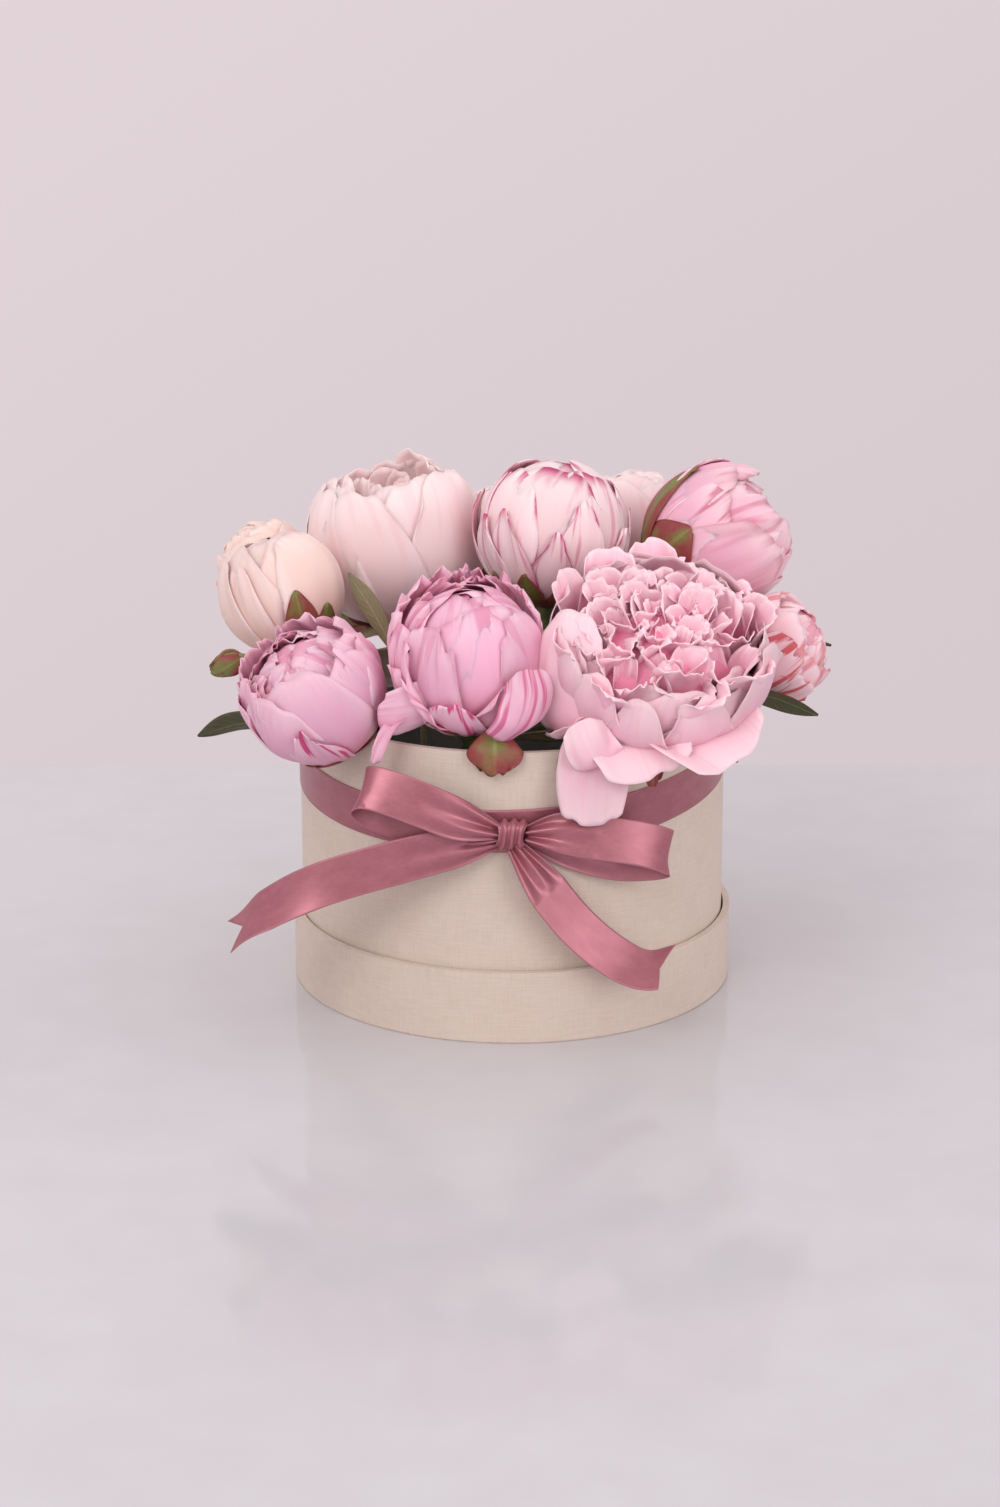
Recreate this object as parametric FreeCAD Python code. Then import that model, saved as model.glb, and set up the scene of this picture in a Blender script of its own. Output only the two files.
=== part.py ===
import FreeCAD, Part

import math
import os

from FreeCAD import Vector

# Flower box: a cloth-covered round board box that stands in its own upturned lid, tied with a
# satin ribbon and filled with cut peonies held in a block of floral foam.
# Millimetres, +Z up. The origin is on the table, on the axis of the box.

# Driving dimensions of the box and the lid
box_radius = 100.0
box_height = 134.0
lid_height = 34.0
lid_clearance = 1.0
board = 2.0
cloth = 0.5
lining = 0.3
rim_turn_in = 15.0
foot_turn_under = 12.0
lid_turn_in = 8.0

# Driving dimensions of the insert
insert_clearance = 0.8
liner_wall = 0.6
liner_below_rim = 18.5
liner_corner = 6.0
liner_lip = 1.6
foam_clearance = 0.4
foam_below_rim = 21.0
foam_chamfer = 9.0
stem_radius = 3.0
stalk_radius = 1.2
stem_hole_clearance = 0.15
stem_depth = 48.0
stalk_depth = 30.0
stem_margin = 12.0

# Driving dimensions of the ribbon
ribbon_width = 20.0
ribbon_thickness = 0.4
ribbon_clearance = 0.2
band_drop = 26.3
band_tilt_depth = 0.10
band_tilt_side = 0.0365
knot_width = 13.0
knot_height = 15.0
knot_depth = 9.0
knot_round = 3.5
loop_length = 65.0
loop_fullness = 6.5
tail_notch = 9.0

# Driving dimensions of the flowers and leaves
petal = 1.0
petal_step = 2.4
petal_gap_degrees = 5.0
receptacle_radius = 6.0
receptacle_height = 9.0
sepal = 0.8
sepal_clearance = 0.6
rim_clearance = 0.6
leaf_thickness = 0.8
bend_share = 0.45

# Levels and radii that follow from the driving dimensions
lid_radius = box_radius + lid_clearance + cloth + board + cloth
lid_floor = cloth + board + lining
rim_z = lid_floor + box_height
wall_outer = box_radius - cloth
wall_inner = wall_outer - board
cover_inner = wall_inner - cloth
base_floor = lid_floor + cloth + board
liner_radius = cover_inner - insert_clearance
foam_radius = liner_radius - liner_wall - foam_clearance
foam_bottom = base_floor + liner_wall
foam_top = rim_z - foam_below_rim
liner_top = rim_z - liner_below_rim
knot_front = box_radius + ribbon_clearance + ribbon_thickness

Y_AXIS = Vector(0, 1, 0)
Z_AXIS = Vector(0, 0, 1)
ORIGIN = Vector(0, 0, 0)

parts = {}


# Shared shapes

def ring(inner, outer, low, high):
    """A plain hoop about the box axis."""
    face = Part.Face(Part.makePolygon([
        Vector(inner, 0, low), Vector(outer, 0, low), Vector(outer, 0, high),
        Vector(inner, 0, high), Vector(inner, 0, low)]))
    return face.revolve(ORIGIN, Z_AXIS, 360)


def disc(radius, low, high):
    return Part.makeCylinder(radius, high - low, Vector(0, 0, low))


def end_edge(shape, pick):
    """The round edge at the foot (pick is min) or at the top (pick is max)."""
    return pick((e for e in shape.Edges if e.Closed), key=lambda e: e.CenterOfMass.z)


def polar(radius, degrees, height):
    angle = math.radians(degrees)
    return Vector(radius * math.cos(angle), radius * math.sin(angle), height)


def facing(tilt, azimuth):
    """A direction that leans from upright by tilt degrees, towards azimuth degrees."""
    lean = math.radians(tilt)
    flat = polar(math.sin(lean), azimuth, 0)
    return Vector(flat.x, flat.y, math.cos(lean))


def placed(shape, point, direction, spin=0):
    """The shape stood at point, its own +Z turned to direction and spun about it."""
    turn = FreeCAD.Rotation(Z_AXIS, direction) * FreeCAD.Rotation(Z_AXIS, spin)
    copy = shape.copy()
    copy.Placement = FreeCAD.Placement(point, turn)
    return copy


def bent_path(points):
    """Straight runs joined by tangent arcs that are as large as the runs allow."""
    edges = []
    start = points[0]
    for before, corner, after in zip(points, points[1:], points[2:]):
        run_in, run_out = corner - before, after - corner
        reach = bend_share * min(run_in.Length, run_out.Length)
        u, v = run_in.normalize(), run_out.normalize()
        arc_start, arc_end = corner - u * reach, corner + v * reach
        turn = u.getAngle(v)
        inward = (v - u).normalize()
        sagitta = reach * math.tan(turn / 4)
        middle = (arc_start + arc_end) * 0.5 - inward * sagitta
        edges.append(Part.LineSegment(start, arc_start).toShape())
        edges.append(Part.Arc(arc_start, middle, arc_end).toShape())
        start = arc_end
    edges.append(Part.LineSegment(start, points[-1]).toShape())
    return Part.Wire(edges)


def rod(points, radius):
    """A round stem along a bent path."""
    path = bent_path(points)
    section = Part.Wire(Part.Circle(points[0], points[1] - points[0], radius).toShape())
    return path.makePipeShell([section], True, True)


def largest(shape):
    return max(shape.Solids, key=lambda solid: solid.Volume)


def circle_through(a, b, c):
    """Centre and radius of the circle through three points of the XZ plane."""
    circle = Part.Circle(a, b, c)
    return circle.Center, circle.Radius


def whorl(base, middle, tip, count, phase, thickness):
    """Equal petals round the Z axis: one shell of revolution through three profile points, given as
    (radius, height), cut to an elliptical petal outline and repeated."""
    base, middle, tip = (Vector(r, 0, z) for r, z in (base, middle, tip))
    centre, radius = circle_through(base, middle, tip)
    outer, inner = radius + thickness / 2, radius - thickness / 2

    def on_arc(arc_radius, point):
        return centre + (point - centre).normalize() * arc_radius

    strip = Part.Face(Part.Wire([
        Part.Arc(*(on_arc(outer, p) for p in (base, middle, tip))).toShape(),
        Part.LineSegment(on_arc(outer, tip), on_arc(inner, tip)).toShape(),
        Part.Arc(*(on_arc(inner, p) for p in (tip, middle, base))).toShape(),
        Part.LineSegment(on_arc(inner, base), on_arc(outer, base)).toShape()]))
    span = 360.0 / count - petal_gap_degrees
    strip.rotate(ORIGIN, Z_AXIS, -span / 2)
    sector = strip.revolve(ORIGIN, Z_AXIS, span)

    normal = (middle - centre).normalize()
    along = Vector(-normal.z, 0, normal.x)
    if along.dot(tip - middle) < 0:
        along = -along
    tip_reach = along.dot(tip - middle)
    base_reach = -along.dot(base - middle)
    half_length = 0.5 * (tip_reach + base_reach) + petal_step
    half_width = max(base.x, middle.x, tip.x) * math.sin(math.pi / count)
    outline_centre = middle + along * (tip_reach - half_length)
    ends = [(half_length, along), (half_width, Y_AXIS)]
    ends.sort(key=lambda end: -end[0])
    outline = Part.Ellipse(*(outline_centre + way * size for size, way in ends), outline_centre)
    depth = 2 * radius + half_length
    prism = Part.Face(Part.Wire(outline.toShape()))
    prism.translate(normal * -depth)
    blade = sector.common(prism.extrude(normal * 2 * depth))

    blades = []
    for i in range(count):
        copy = blade.copy()
        copy.rotate(ORIGIN, Z_AXIS, phase + 360.0 * i / count)
        blades.append(copy)
    return blades


# Lid, standing open side up as a tray

def make_lid():
    rim_outer = lid_radius - cloth
    rim_inner = rim_outer - board
    parts["lid_panel"] = disc(rim_inner, cloth, cloth + board)
    parts["lid_rim"] = ring(rim_inner, rim_outer, 2 * cloth, lid_height - cloth)
    parts["lid_panel_cover"] = disc(rim_outer, 0, cloth)

    sleeve = ring(rim_outer, lid_radius, cloth, lid_height)
    sleeve = sleeve.fuse(ring(rim_inner - cloth, rim_outer, lid_height - cloth, lid_height))
    sleeve = sleeve.fuse(ring(rim_inner - cloth, rim_inner, lid_height - lid_turn_in, lid_height))
    sleeve = sleeve.fuse(ring(rim_inner, rim_outer, cloth, 2 * cloth))
    parts["lid_rim_cover"] = sleeve.removeSplitter()

    paper = disc(rim_inner, cloth + board, lid_floor)
    paper = paper.fuse(ring(rim_inner - lining, rim_inner, cloth + board, lid_height - lid_turn_in))
    parts["lid_lining"] = paper.removeSplitter()


# Box, a board tube with a set-in base, covered outside in cloth and lined in paper

def make_box():
    foot = lid_floor
    parts["box_wall"] = ring(wall_inner, wall_outer, foot + cloth, rim_z - cloth)
    parts["box_base"] = disc(wall_inner, foot + cloth, base_floor)

    cover = ring(wall_outer, box_radius, foot, rim_z)
    cover = cover.fuse(ring(cover_inner, wall_outer, rim_z - cloth, rim_z))
    cover = cover.fuse(ring(cover_inner, wall_inner, rim_z - rim_turn_in, rim_z))
    cover = cover.fuse(ring(wall_outer - foot_turn_under, wall_outer, foot, foot + cloth))
    parts["box_cover"] = cover.removeSplitter()

    parts["box_base_paper"] = disc(wall_outer - foot_turn_under, foot, foot + cloth)
    parts["box_lining"] = ring(wall_inner - lining, wall_inner, base_floor, rim_z - rim_turn_in)


# Waterproof liner and the foam block that the stems are pushed into

def make_liner():
    outside = disc(liner_radius, base_floor, liner_top)
    outside = outside.makeFillet(liner_corner, [end_edge(outside, min)])
    inside = disc(liner_radius - liner_wall, foam_bottom, liner_top)
    inside = inside.makeFillet(liner_corner - liner_wall, [end_edge(inside, min)])
    lip = ring(liner_radius - liner_wall - liner_lip, liner_radius, liner_top - liner_wall, liner_top)
    parts["waterproof_liner"] = outside.cut(inside).fuse(lip).removeSplitter()


def make_foam(holes):
    block = disc(foam_radius, foam_bottom, foam_top)
    block = block.makeChamfer(foam_chamfer, [end_edge(block, max)])
    block = block.makeFillet(liner_corner - liner_wall, [end_edge(block, min)])
    for hole in holes:
        block = block.cut(hole)
    parts["floral_foam"] = block


# Ribbon, tied round the box in one bow at the front

def band_level(point):
    return rim_z - band_drop + band_tilt_depth * point.y + band_tilt_side * point.x


def make_band():
    tall = rim_z
    sleeve = ring(box_radius + ribbon_clearance, knot_front, 0, tall)
    reach = 2 * box_radius
    slab = Part.makeBox(2 * reach, 2 * reach, ribbon_width, Vector(-reach, -reach, -ribbon_width / 2))
    level = Vector(-band_tilt_side, -band_tilt_depth, 1)
    slab.Placement = FreeCAD.Placement(Vector(0, 0, band_level(ORIGIN)), FreeCAD.Rotation(Z_AXIS, level))
    parts["ribbon_band"] = sleeve.common(slab)


def knot_centre():
    front = Vector(0, -knot_front - ribbon_clearance - knot_depth / 2, 0)
    front.z = band_level(front)
    return front


def make_knot():
    centre = knot_centre()
    size = Vector(knot_width, knot_depth, knot_height)
    block = Part.makeBox(size.x, size.y, size.z, centre - size * 0.5)
    parts["bow_knot"] = block.makeFillet(knot_round, block.Edges)


def make_loop(name, start, along, across):
    """A bow loop: a strip folded back on itself to a teardrop, as wide as the ribbon."""
    along = along.normalize()
    across = (across - along * across.dot(along)).normalize()
    outward = along.cross(across)

    def teardrop(round_radius, tip):
        middle = loop_length - loop_fullness
        lean = math.asin(round_radius / (middle - tip))
        touch = Vector(middle - round_radius * math.sin(lean), 0, round_radius * math.cos(lean))
        mirror = Vector(touch.x, 0, -touch.z)
        end = Vector(middle + round_radius, 0, 0)
        point = Vector(tip, 0, 0)
        return Part.Face(Part.Wire([
            Part.LineSegment(point, touch).toShape(),
            Part.Arc(touch, end, mirror).toShape(),
            Part.LineSegment(mirror, point).toShape()]))

    inner_round = loop_fullness - ribbon_thickness
    lean = math.asin(loop_fullness / (loop_length - loop_fullness))
    inner_tip = ribbon_thickness / math.sin(lean)
    strip = teardrop(loop_fullness, 0).cut(teardrop(inner_round, inner_tip))
    loop = strip.extrude(Y_AXIS * ribbon_width)
    loop.translate(Y_AXIS * (-ribbon_width / 2))
    turn = FreeCAD.Rotation(along, across, outward, "XYZ")
    loop.Placement = FreeCAD.Placement(start, turn).multiply(loop.Placement)
    parts[name] = loop


def make_tail(name, start, points):
    """A hanging ribbon end with a swallowtail cut. Each point holds its centre, counted from start, and the
    direction of the ribbon's width there, shorter than one where the ribbon is gathered."""
    centres = [start + Vector(*centre) for centre, across in points]
    halves = [Vector(*across) * (ribbon_width / 2) for centre, across in points]
    edges = []
    for side in (1, -1):
        curve = Part.BSplineCurve()
        curve.interpolate([c + h * side for c, h in zip(centres, halves)])
        edges.append(curve.toShape())
    strip = Part.makeRuledSurface(*edges).extrude(Vector(0, -ribbon_thickness, 0))
    end, half = centres[-1], halves[-1]
    notch = end - (end - centres[-2]).normalize() * tail_notch
    corner = Part.Face(Part.makePolygon([end + half, notch, end - half, end + half]))
    depth = Y_AXIS * ribbon_width
    corner.translate(-depth)
    parts[name] = strip.cut(corner.extrude(depth * 2))


def make_bow():
    make_band()
    make_knot()
    centre = knot_centre()
    half = knot_width / 2 + ribbon_clearance
    lean_back = Vector(0, 0.25, 1)
    make_loop("bow_loop_left", centre + Vector(-half, 0, 2), Vector(-1, 0.1, 0.36), lean_back)
    make_loop("bow_loop_right", centre + Vector(half, 0, 1), Vector(1, 0.1, -0.12), lean_back)
    drop = 0.45 * ribbon_width
    back = 0.15 * ribbon_width
    side = centre - Vector(half, 0, 0)
    make_tail("ribbon_tail_left", side, [
        ((0, back, -4), (0, 0.05, 0.3)),
        ((-30, back - 3, -drop), (-0.1, 0.2, 0.9)),
        ((-69, back - 4.5, -8 - drop), (-0.2, 0.25, 0.95)),
        ((-117, back, -41 - drop), (-0.25, 0.2, 0.95))])
    under = centre - Vector(0, 0, knot_height / 2 + ribbon_clearance)
    make_tail("ribbon_tail_right", under, [
        ((0, 0, 0), (0.4, 0, 0)),
        ((14.5, -4.5, -6.5 - drop), (0.5, 0.6, 0.45)),
        ((30, -5.5, -26 - drop), (0.56, 0.55, 0.55)),
        ((48, -6, -40 - drop), (0.4, 0.5, 0.72)),
        ((73, -3, -46 - drop), (0.3, 0.5, 0.78))])


# Flowers. Each bloom is grown in one piece on a flat seat, on its own stem with its sepals.

def globe_point(radius, centre_height, degrees_from_base):
    angle = math.radians(degrees_from_base)
    return radius * math.sin(angle), centre_height - radius * math.cos(angle)


def globe_whorl(radius, centre_height, last, count, phase, thickness, first=9.0):
    arc = [globe_point(radius, centre_height, a) for a in (first, (first + last) / 2, last)]
    return whorl(*arc, count, phase, thickness)


def above_seat(shape, reach):
    return shape.common(Part.makeBox(4 * reach, 4 * reach, 4 * reach, Vector(-2 * reach, -2 * reach, 0)))


def joined(core, petals, reach):
    """Core, petals and the plug that they all grow from, cut flat at the seat."""
    plug = Part.makeCylinder(receptacle_radius, 4 * petal_step + petal)
    return above_seat(core.multiFuse([plug] + petals), reach)


def closed_bloom(radius, openings, count):
    """A ball of wrapped petals. openings says how far round each whorl closes, from the outermost in."""
    petals = []
    for i, last in enumerate(openings):
        petals += globe_whorl(radius - petal / 2 - i * petal_step, radius, last, count, i * 180.0 / count, petal)
    core = Part.makeSphere(radius - len(openings) * petal_step, Vector(0, 0, radius))
    return joined(core, petals, radius)


def bud(radius):
    return closed_bloom(radius, (138.0, 158.0), 4)


def globe(radius):
    return closed_bloom(radius, (112.0, 134.0, 152.0), 5)


def cup(radius):
    """A tall upright goblet of long petals round a ball of inner ones."""
    petals = []
    for i, height in enumerate((1.72, 1.62)):
        wide = radius - petal / 2 - i * petal_step
        petals += whorl((receptacle_radius - petal, 1 + i * petal_step), (wide, 0.9 * radius),
                        (0.68 * wide, height * radius), 5, i * 36.0, petal)
    ball = 0.66 * radius
    core = Part.makeSphere(ball, Vector(0, 0, 0.98 * radius))
    stalk = Part.makeCone(receptacle_radius, ball / 2, 0.6 * radius)
    return joined(core.fuse(stalk), petals, radius)


def rosette(radius):
    """A full-blown flower: saucer-like guard petals, then steeper whorls round a tight heart."""
    profiles = [
        ((5.0, 1.5), (0.58 * radius, 0.16 * radius), (1.0 * radius, 0.56 * radius), 6),
        ((4.6, 4.0), (0.54 * radius, 0.32 * radius), (0.86 * radius, 0.84 * radius), 6),
        ((4.2, 6.5), (0.46 * radius, 0.46 * radius), (0.66 * radius, 1.02 * radius), 5),
        ((3.8, 9.0), (0.32 * radius, 0.56 * radius), (0.40 * radius, 1.10 * radius), 5)]
    petals = []
    for i, (base, middle, tip, count) in enumerate(profiles):
        petals += whorl(base, middle, tip, count, i * 180.0 / count, petal)
    heart = Part.makeCone(receptacle_radius - petal, 0.17 * radius, 0.75 * radius)
    crown = Part.makeSphere(0.2 * radius, Vector(0, 0, 0.8 * radius))
    return joined(heart.fuse(crown), petals, radius)


FORMS = {"bud": bud, "globe": globe, "cup": cup, "rosette": rosette}


def calyx(form, radius):
    """The green cup under a bloom, with its sepals just clear of the outer petals."""
    green_cup = Part.makeCone(stem_radius, receptacle_radius, receptacle_height, Vector(0, 0, -receptacle_height))
    if form == "rosette":
        sepals = whorl((receptacle_radius - 2, -1.5), (0.24 * radius, -2.5), (0.42 * radius, -1.5), 5, 18, sepal)
    elif form == "cup":
        sepals = whorl((receptacle_radius - 2, -1.5), (0.30 * radius, -2.0), (0.52 * radius, 3.0), 5, 18, sepal)
    else:
        sepals = globe_whorl(radius + sepal_clearance + sepal / 2, radius, 52.0, 3, 40, sepal, 4.0)
    return green_cup.multiFuse(sepals).cut(disc(receptacle_radius, 0, receptacle_height))


# name: form, size, seat (azimuth, reach beyond the rim, height above the rim), lean and lean azimuth,
# length of the straight neck under the bloom
blooms = {
    "front_right": ("rosette", 52.5, (-38.0, -22.5, 11.0), (38.0, -79.0), 16.0),
    "front_centre": ("globe", 34.5, (250.5, -40.0, 6.0), (26.5, 271.0), 14.0),
    "front_left": ("globe", 32.0, (213.5, -10.0, 2.0), (56.0, 238.0), 13.0),
    "left": ("bud", 29.0, (186.0, -0.5, 22.0), (21.5, 146.0), 10.0),
    "left_back": ("globe", 23.0, (156.0, 16.0, 33.0), (46.0, 160.0), 28.0),
    "top_left": ("cup", 43.0, (138.0, -28.5, 21.0), (4.5, 180.0), 14.0),
    "top_centre": ("globe", 36.5, (44.0, -79.0, 38.0), (10.5, 56.0), 14.0),
    "top_right": ("bud", 34.5, (8.5, -26.0, 45.0), (45.5, 25.0), 16.0),
    "right": ("globe", 24.0, (-7.5, 4.0, 13.0), (59.0, -7.0), 19.0),
    "back_centre": ("globe", 28.0, (92.0, -6.0, 27.0), (21.0, 98.0), 14.0),
    "back_right": ("globe", 30.0, (55.0, -3.0, 33.0), (24.0, 60.0), 14.0),
    "rear_left": ("globe", 24.0, (127.0, 8.0, 12.0), (61.0, 121.0), 19.0),
    "rear_right": ("globe", 24.0, (37.0, 9.5, 10.0), (70.5, 44.0), 19.0),
}


def seat_point(seat):
    azimuth, overhang, lift = seat
    return polar(box_radius + overhang, azimuth, rim_z + lift)


def into_foam(point, depth):
    """Where a stem that comes down at point enters the foam, and where its cut end stops."""
    flat = Vector(point.x, point.y, 0)
    limit = foam_radius - foam_chamfer - stem_margin
    flat = flat * min(1.0, limit / flat.Length)
    entry = Vector(flat.x, flat.y, foam_top)
    slope = (entry - point).normalize()
    return entry, entry + slope * depth


def stem_hole(start, end, radius):
    way = end - start
    return Part.makeCylinder(radius + stem_hole_clearance, way.Length, start, way)


def pressing_balls(name):
    """The closed blooms that press on an open one, which gives way to them."""
    form, radius, seat, lean, neck = blooms[name]
    balls = []
    for other_form, other_radius, other_seat, other_lean, other_neck in blooms.values():
        centre = seat_point(other_seat) + facing(*other_lean) * other_radius
        near = (centre - seat_point(seat)).Length < 1.3 * radius + other_radius
        if form == "rosette" and other_form in ("globe", "bud") and near:
            balls.append(Part.makeSphere(other_radius + sepal_clearance + sepal, centre))
    return balls


def make_flowers():
    holes = []
    rim_shadow = ring(cover_inner - rim_clearance, knot_front + rim_clearance, 0, rim_z + rim_clearance)
    for name, (form, radius, seat, lean, neck) in blooms.items():
        point, way = seat_point(seat), facing(*lean)
        bloom = placed(FORMS[form](radius), point, way)
        parts["bloom_" + name] = largest(bloom.cut([rim_shadow] + pressing_balls(name)))
        elbow = point - way * (receptacle_height + neck)
        entry, end = into_foam(elbow, stem_depth)
        stalk = rod([point - way * receptacle_height, elbow, end], stem_radius)
        stem = stalk.fuse(placed(calyx(form, radius), point, way))
        parts["stem_" + name] = largest(stem.removeSplitter().cut(rim_shadow))
        holes.append(stem_hole(elbow, end, stem_radius))
    return holes


# Side bud and leaves, each on a thin stalk

def make_side_bud():
    tip, base = polar(box_radius + 40.0, 196.0, rim_z + 22.0), polar(box_radius + 30.0, 198.0, rim_z + 28.0)
    way = (tip - base).normalize()
    profile = Part.BSplineCurve()
    length, width = 17.0, 6.5
    profile.interpolate([Vector(0, 0, length), Vector(0.6 * width, 0, 0.7 * length),
                         Vector(width, 0, 0.35 * length), Vector(stalk_radius, 0, 0)])
    face = Part.Face(Part.Wire([
        profile.toShape(),
        Part.LineSegment(Vector(stalk_radius, 0, 0), ORIGIN).toShape(),
        Part.LineSegment(ORIGIN, Vector(0, 0, length)).toShape()]))
    head = placed(face.revolve(ORIGIN, Z_AXIS, 360), base, way)
    elbow = polar(box_radius - 12.0, 196.0, rim_z + 16.0)
    entry, end = into_foam(elbow, stalk_depth)
    parts["side_bud"] = rod([base, elbow, end], stalk_radius).fuse(head).removeSplitter()
    return [stem_hole(elbow, end, stalk_radius)]


def blade(length, width, droop):
    """A lance-shaped leaf along +X from the origin, bent down to radius droop and hollow along its rib."""
    half = Part.Arc(ORIGIN, Vector(0.42 * length, width / 2, 0), Vector(length, 0, 0)).toShape()
    other = Part.Arc(Vector(length, 0, 0), Vector(0.42 * length, -width / 2, 0), ORIGIN).toShape()
    outline = Part.Face(Part.Wire([half, other]))
    outline.translate(Z_AXIS * -droop)
    prism = outline.extrude(Z_AXIS * 2 * droop)
    turn = Part.makeCylinder(droop + leaf_thickness / 2, width, Vector(0, -width / 2, -droop), Y_AXIS)
    hollow = Part.makeCylinder(droop - leaf_thickness / 2, width, Vector(0, -width / 2, -droop), Y_AXIS)
    return prism.common(turn.cut(hollow))


# name: length, width, bend radius, roll about its rib, then points (azimuth, reach beyond the rim, height
# above the rim): tip, base of the blade, and the elbows of its stalk on the way down to the foam
leaves = {
    "left": (47.0, 15.0, 90.0, 0.0, [(189.0, 48.5, -15.0), (195.0, 6.0, -10.0), (199.0, -1.5, 5.0),
                                     (201.0, -13.0, 4.0)]),
    "centre": (44.0, 13.0, 110.0, 75.0, [(199.0, -20.0, 64.0), (215.0, -36.0, 26.0), (219.0, -46.0, 5.0)]),
    "right_upper": (54.0, 14.0, 90.0, 0.0, [(6.0, 52.0, 18.0), (9.0, 0.5, 20.0), (9.0, -12.0, 15.0)]),
    "right_lower": (48.0, 13.0, 80.0, 0.0, [(-17.5, 47.0, 1.0), (-21.0, 2.0, 10.0), (-17.0, -13.0, 7.0)]),
    "front_rim": (38.0, 12.0, 120.0, 0.0, [(290.0, -8.0, 5.0), (268.0, -22.0, 0.0), (266.0, -30.0, -5.0)]),
    "front_right": (30.0, 12.0, 60.0, 0.0, [(-27.0, 15.5, -19.0), (-27.0, 4.5, 7.0), (-23.0, -14.0, -0.5)]),
    "rear_left": (46.0, 15.0, 80.0, 0.0, [(112.0, 42.0, 2.0), (108.0, -1.0, 8.0), (107.0, -14.0, 5.0)]),
    "rear_right": (46.0, 15.0, 80.0, 0.0, [(76.0, 42.0, 0.0), (74.0, -1.0, 8.0), (74.0, -14.0, 5.0)]),
}


def make_leaves():
    holes = []
    for name, (length, width, droop, roll, points) in leaves.items():
        end, root, *elbows = (seat_point(p) for p in points)
        along = (end - root).normalize()
        side = Z_AXIS.cross(along).normalize()
        turn = FreeCAD.Rotation(along, roll) * FreeCAD.Rotation(along, side, along.cross(side), "XYZ")
        leaf = blade(length, width, droop)
        sag = droop - math.sqrt(droop ** 2 - length ** 2)
        leaf.rotate(ORIGIN, Y_AXIS, -math.degrees(math.atan2(sag, length)))
        leaf.Placement = FreeCAD.Placement(root, turn).multiply(leaf.Placement)
        entry, foot = into_foam(elbows[-1], stalk_depth)
        stalk = rod([root + along * stalk_radius * 2] + elbows + [foot], stalk_radius)
        parts["leaf_" + name] = leaf.fuse(stalk).removeSplitter()
        holes.append(stem_hole(elbows[-1], foot, stalk_radius))
    return holes


make_lid()
make_box()
make_liner()
make_bow()
make_foam(make_flowers() + make_side_bud() + make_leaves())

os.makedirs("parts", exist_ok=True)
for node, shape in parts.items():
    solids = shape.Solids
    if not solids or not all(s.isValid() for s in solids):
        raise RuntimeError("bad solid in " + node)
    whole = solids[0] if len(solids) == 1 else Part.makeCompound(solids)
    whole.exportStep(os.path.join("parts", node + ".step"))
    print(node, len(solids), round(shape.Volume, 1))
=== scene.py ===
import math

import bpy
import numpy as np
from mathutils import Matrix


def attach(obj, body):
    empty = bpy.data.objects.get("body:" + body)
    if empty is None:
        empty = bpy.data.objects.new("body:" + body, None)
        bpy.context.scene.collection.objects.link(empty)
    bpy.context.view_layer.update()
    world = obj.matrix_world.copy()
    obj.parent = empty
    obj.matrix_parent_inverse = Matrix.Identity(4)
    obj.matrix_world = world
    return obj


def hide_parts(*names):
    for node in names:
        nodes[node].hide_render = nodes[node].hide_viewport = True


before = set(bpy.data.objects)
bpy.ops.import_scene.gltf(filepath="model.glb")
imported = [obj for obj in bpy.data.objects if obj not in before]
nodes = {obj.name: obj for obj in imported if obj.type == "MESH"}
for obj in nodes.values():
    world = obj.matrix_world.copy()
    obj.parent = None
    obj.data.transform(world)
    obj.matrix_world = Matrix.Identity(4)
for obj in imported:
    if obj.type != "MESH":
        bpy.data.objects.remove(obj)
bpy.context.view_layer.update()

mm = 0.001
fullTurn = 2 * math.pi
rimZ = 136.8        # top of the box, millimetres
boxRadius = 100.0
seeds = dict(flower=100, leaf=300, sepal=400, bud=500, stem=600)    # where each kind's random draws start


# small helpers

def tint(r, g, b):  # screen colour 0 to 255, as the linear colour that shaders take
    shares = [c / 255 for c in (r, g, b)]
    return tuple(c / 12.92 if c < 0.04045 else ((c + 0.055) / 1.055) ** 2.4 for c in shares) + (1.0,)


def unit(vector):
    vector = np.asarray(vector, float)
    return vector / np.linalg.norm(vector, axis=-1, keepdims=True)


def polar(radius, degrees, height):
    angle = math.radians(degrees)
    return np.array([radius * math.cos(angle), radius * math.sin(angle), height])


def seatPoint(azimuth, reach, lift):  # measured from the rim of the box
    return polar(boxRadius + reach, azimuth, rimZ + lift)


def facing(lean, azimuth):  # direction that leans away from upright
    return polar(math.sin(math.radians(lean)), azimuth, math.cos(math.radians(lean)))


def frameAlong(way, up=(0, 1, 0)):
    flat = unit(np.cross(up, way))
    return np.stack([flat, np.cross(way, flat), way])


def ring(count):  # angles of a closed ring
    return np.linspace(0, fullTurn, count + 1)[:-1]


def smoothLine(points, count):  # a soft curve through all the points
    points = np.asarray(points, float)
    padded = np.vstack([2 * points[0] - points[1], points, 2 * points[-1] - points[-2]])
    spans = len(points) - 1
    out = []
    for t in np.linspace(0, spans, count):
        i = min(int(t), spans - 1)
        f = t - i
        a, b, c, d = padded[i:i + 4]
        bend, twist = 2 * a - 5 * b + 4 * c - d, 3 * b - a - 3 * c + d
        out.append(0.5 * (2 * b + (c - a) * f + bend * f ** 2 + twist * f ** 3))
    return np.array(out)


def along(line, share, values=None):  # points of a line, or values that belong to them, at a share of its length
    values = line if values is None else values
    arc = np.concatenate([[0], np.cumsum(np.linalg.norm(np.diff(line, axis=0), axis=1))])
    return np.stack([np.interp(share * arc[-1], arc, column) for column in values.T], axis=-1)


def heading(line, share, step=0.02):  # which way the line runs there
    return unit(along(line, np.clip(share + step, 0, 1)) - along(line, np.clip(share - step, 0, 1)))


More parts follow.
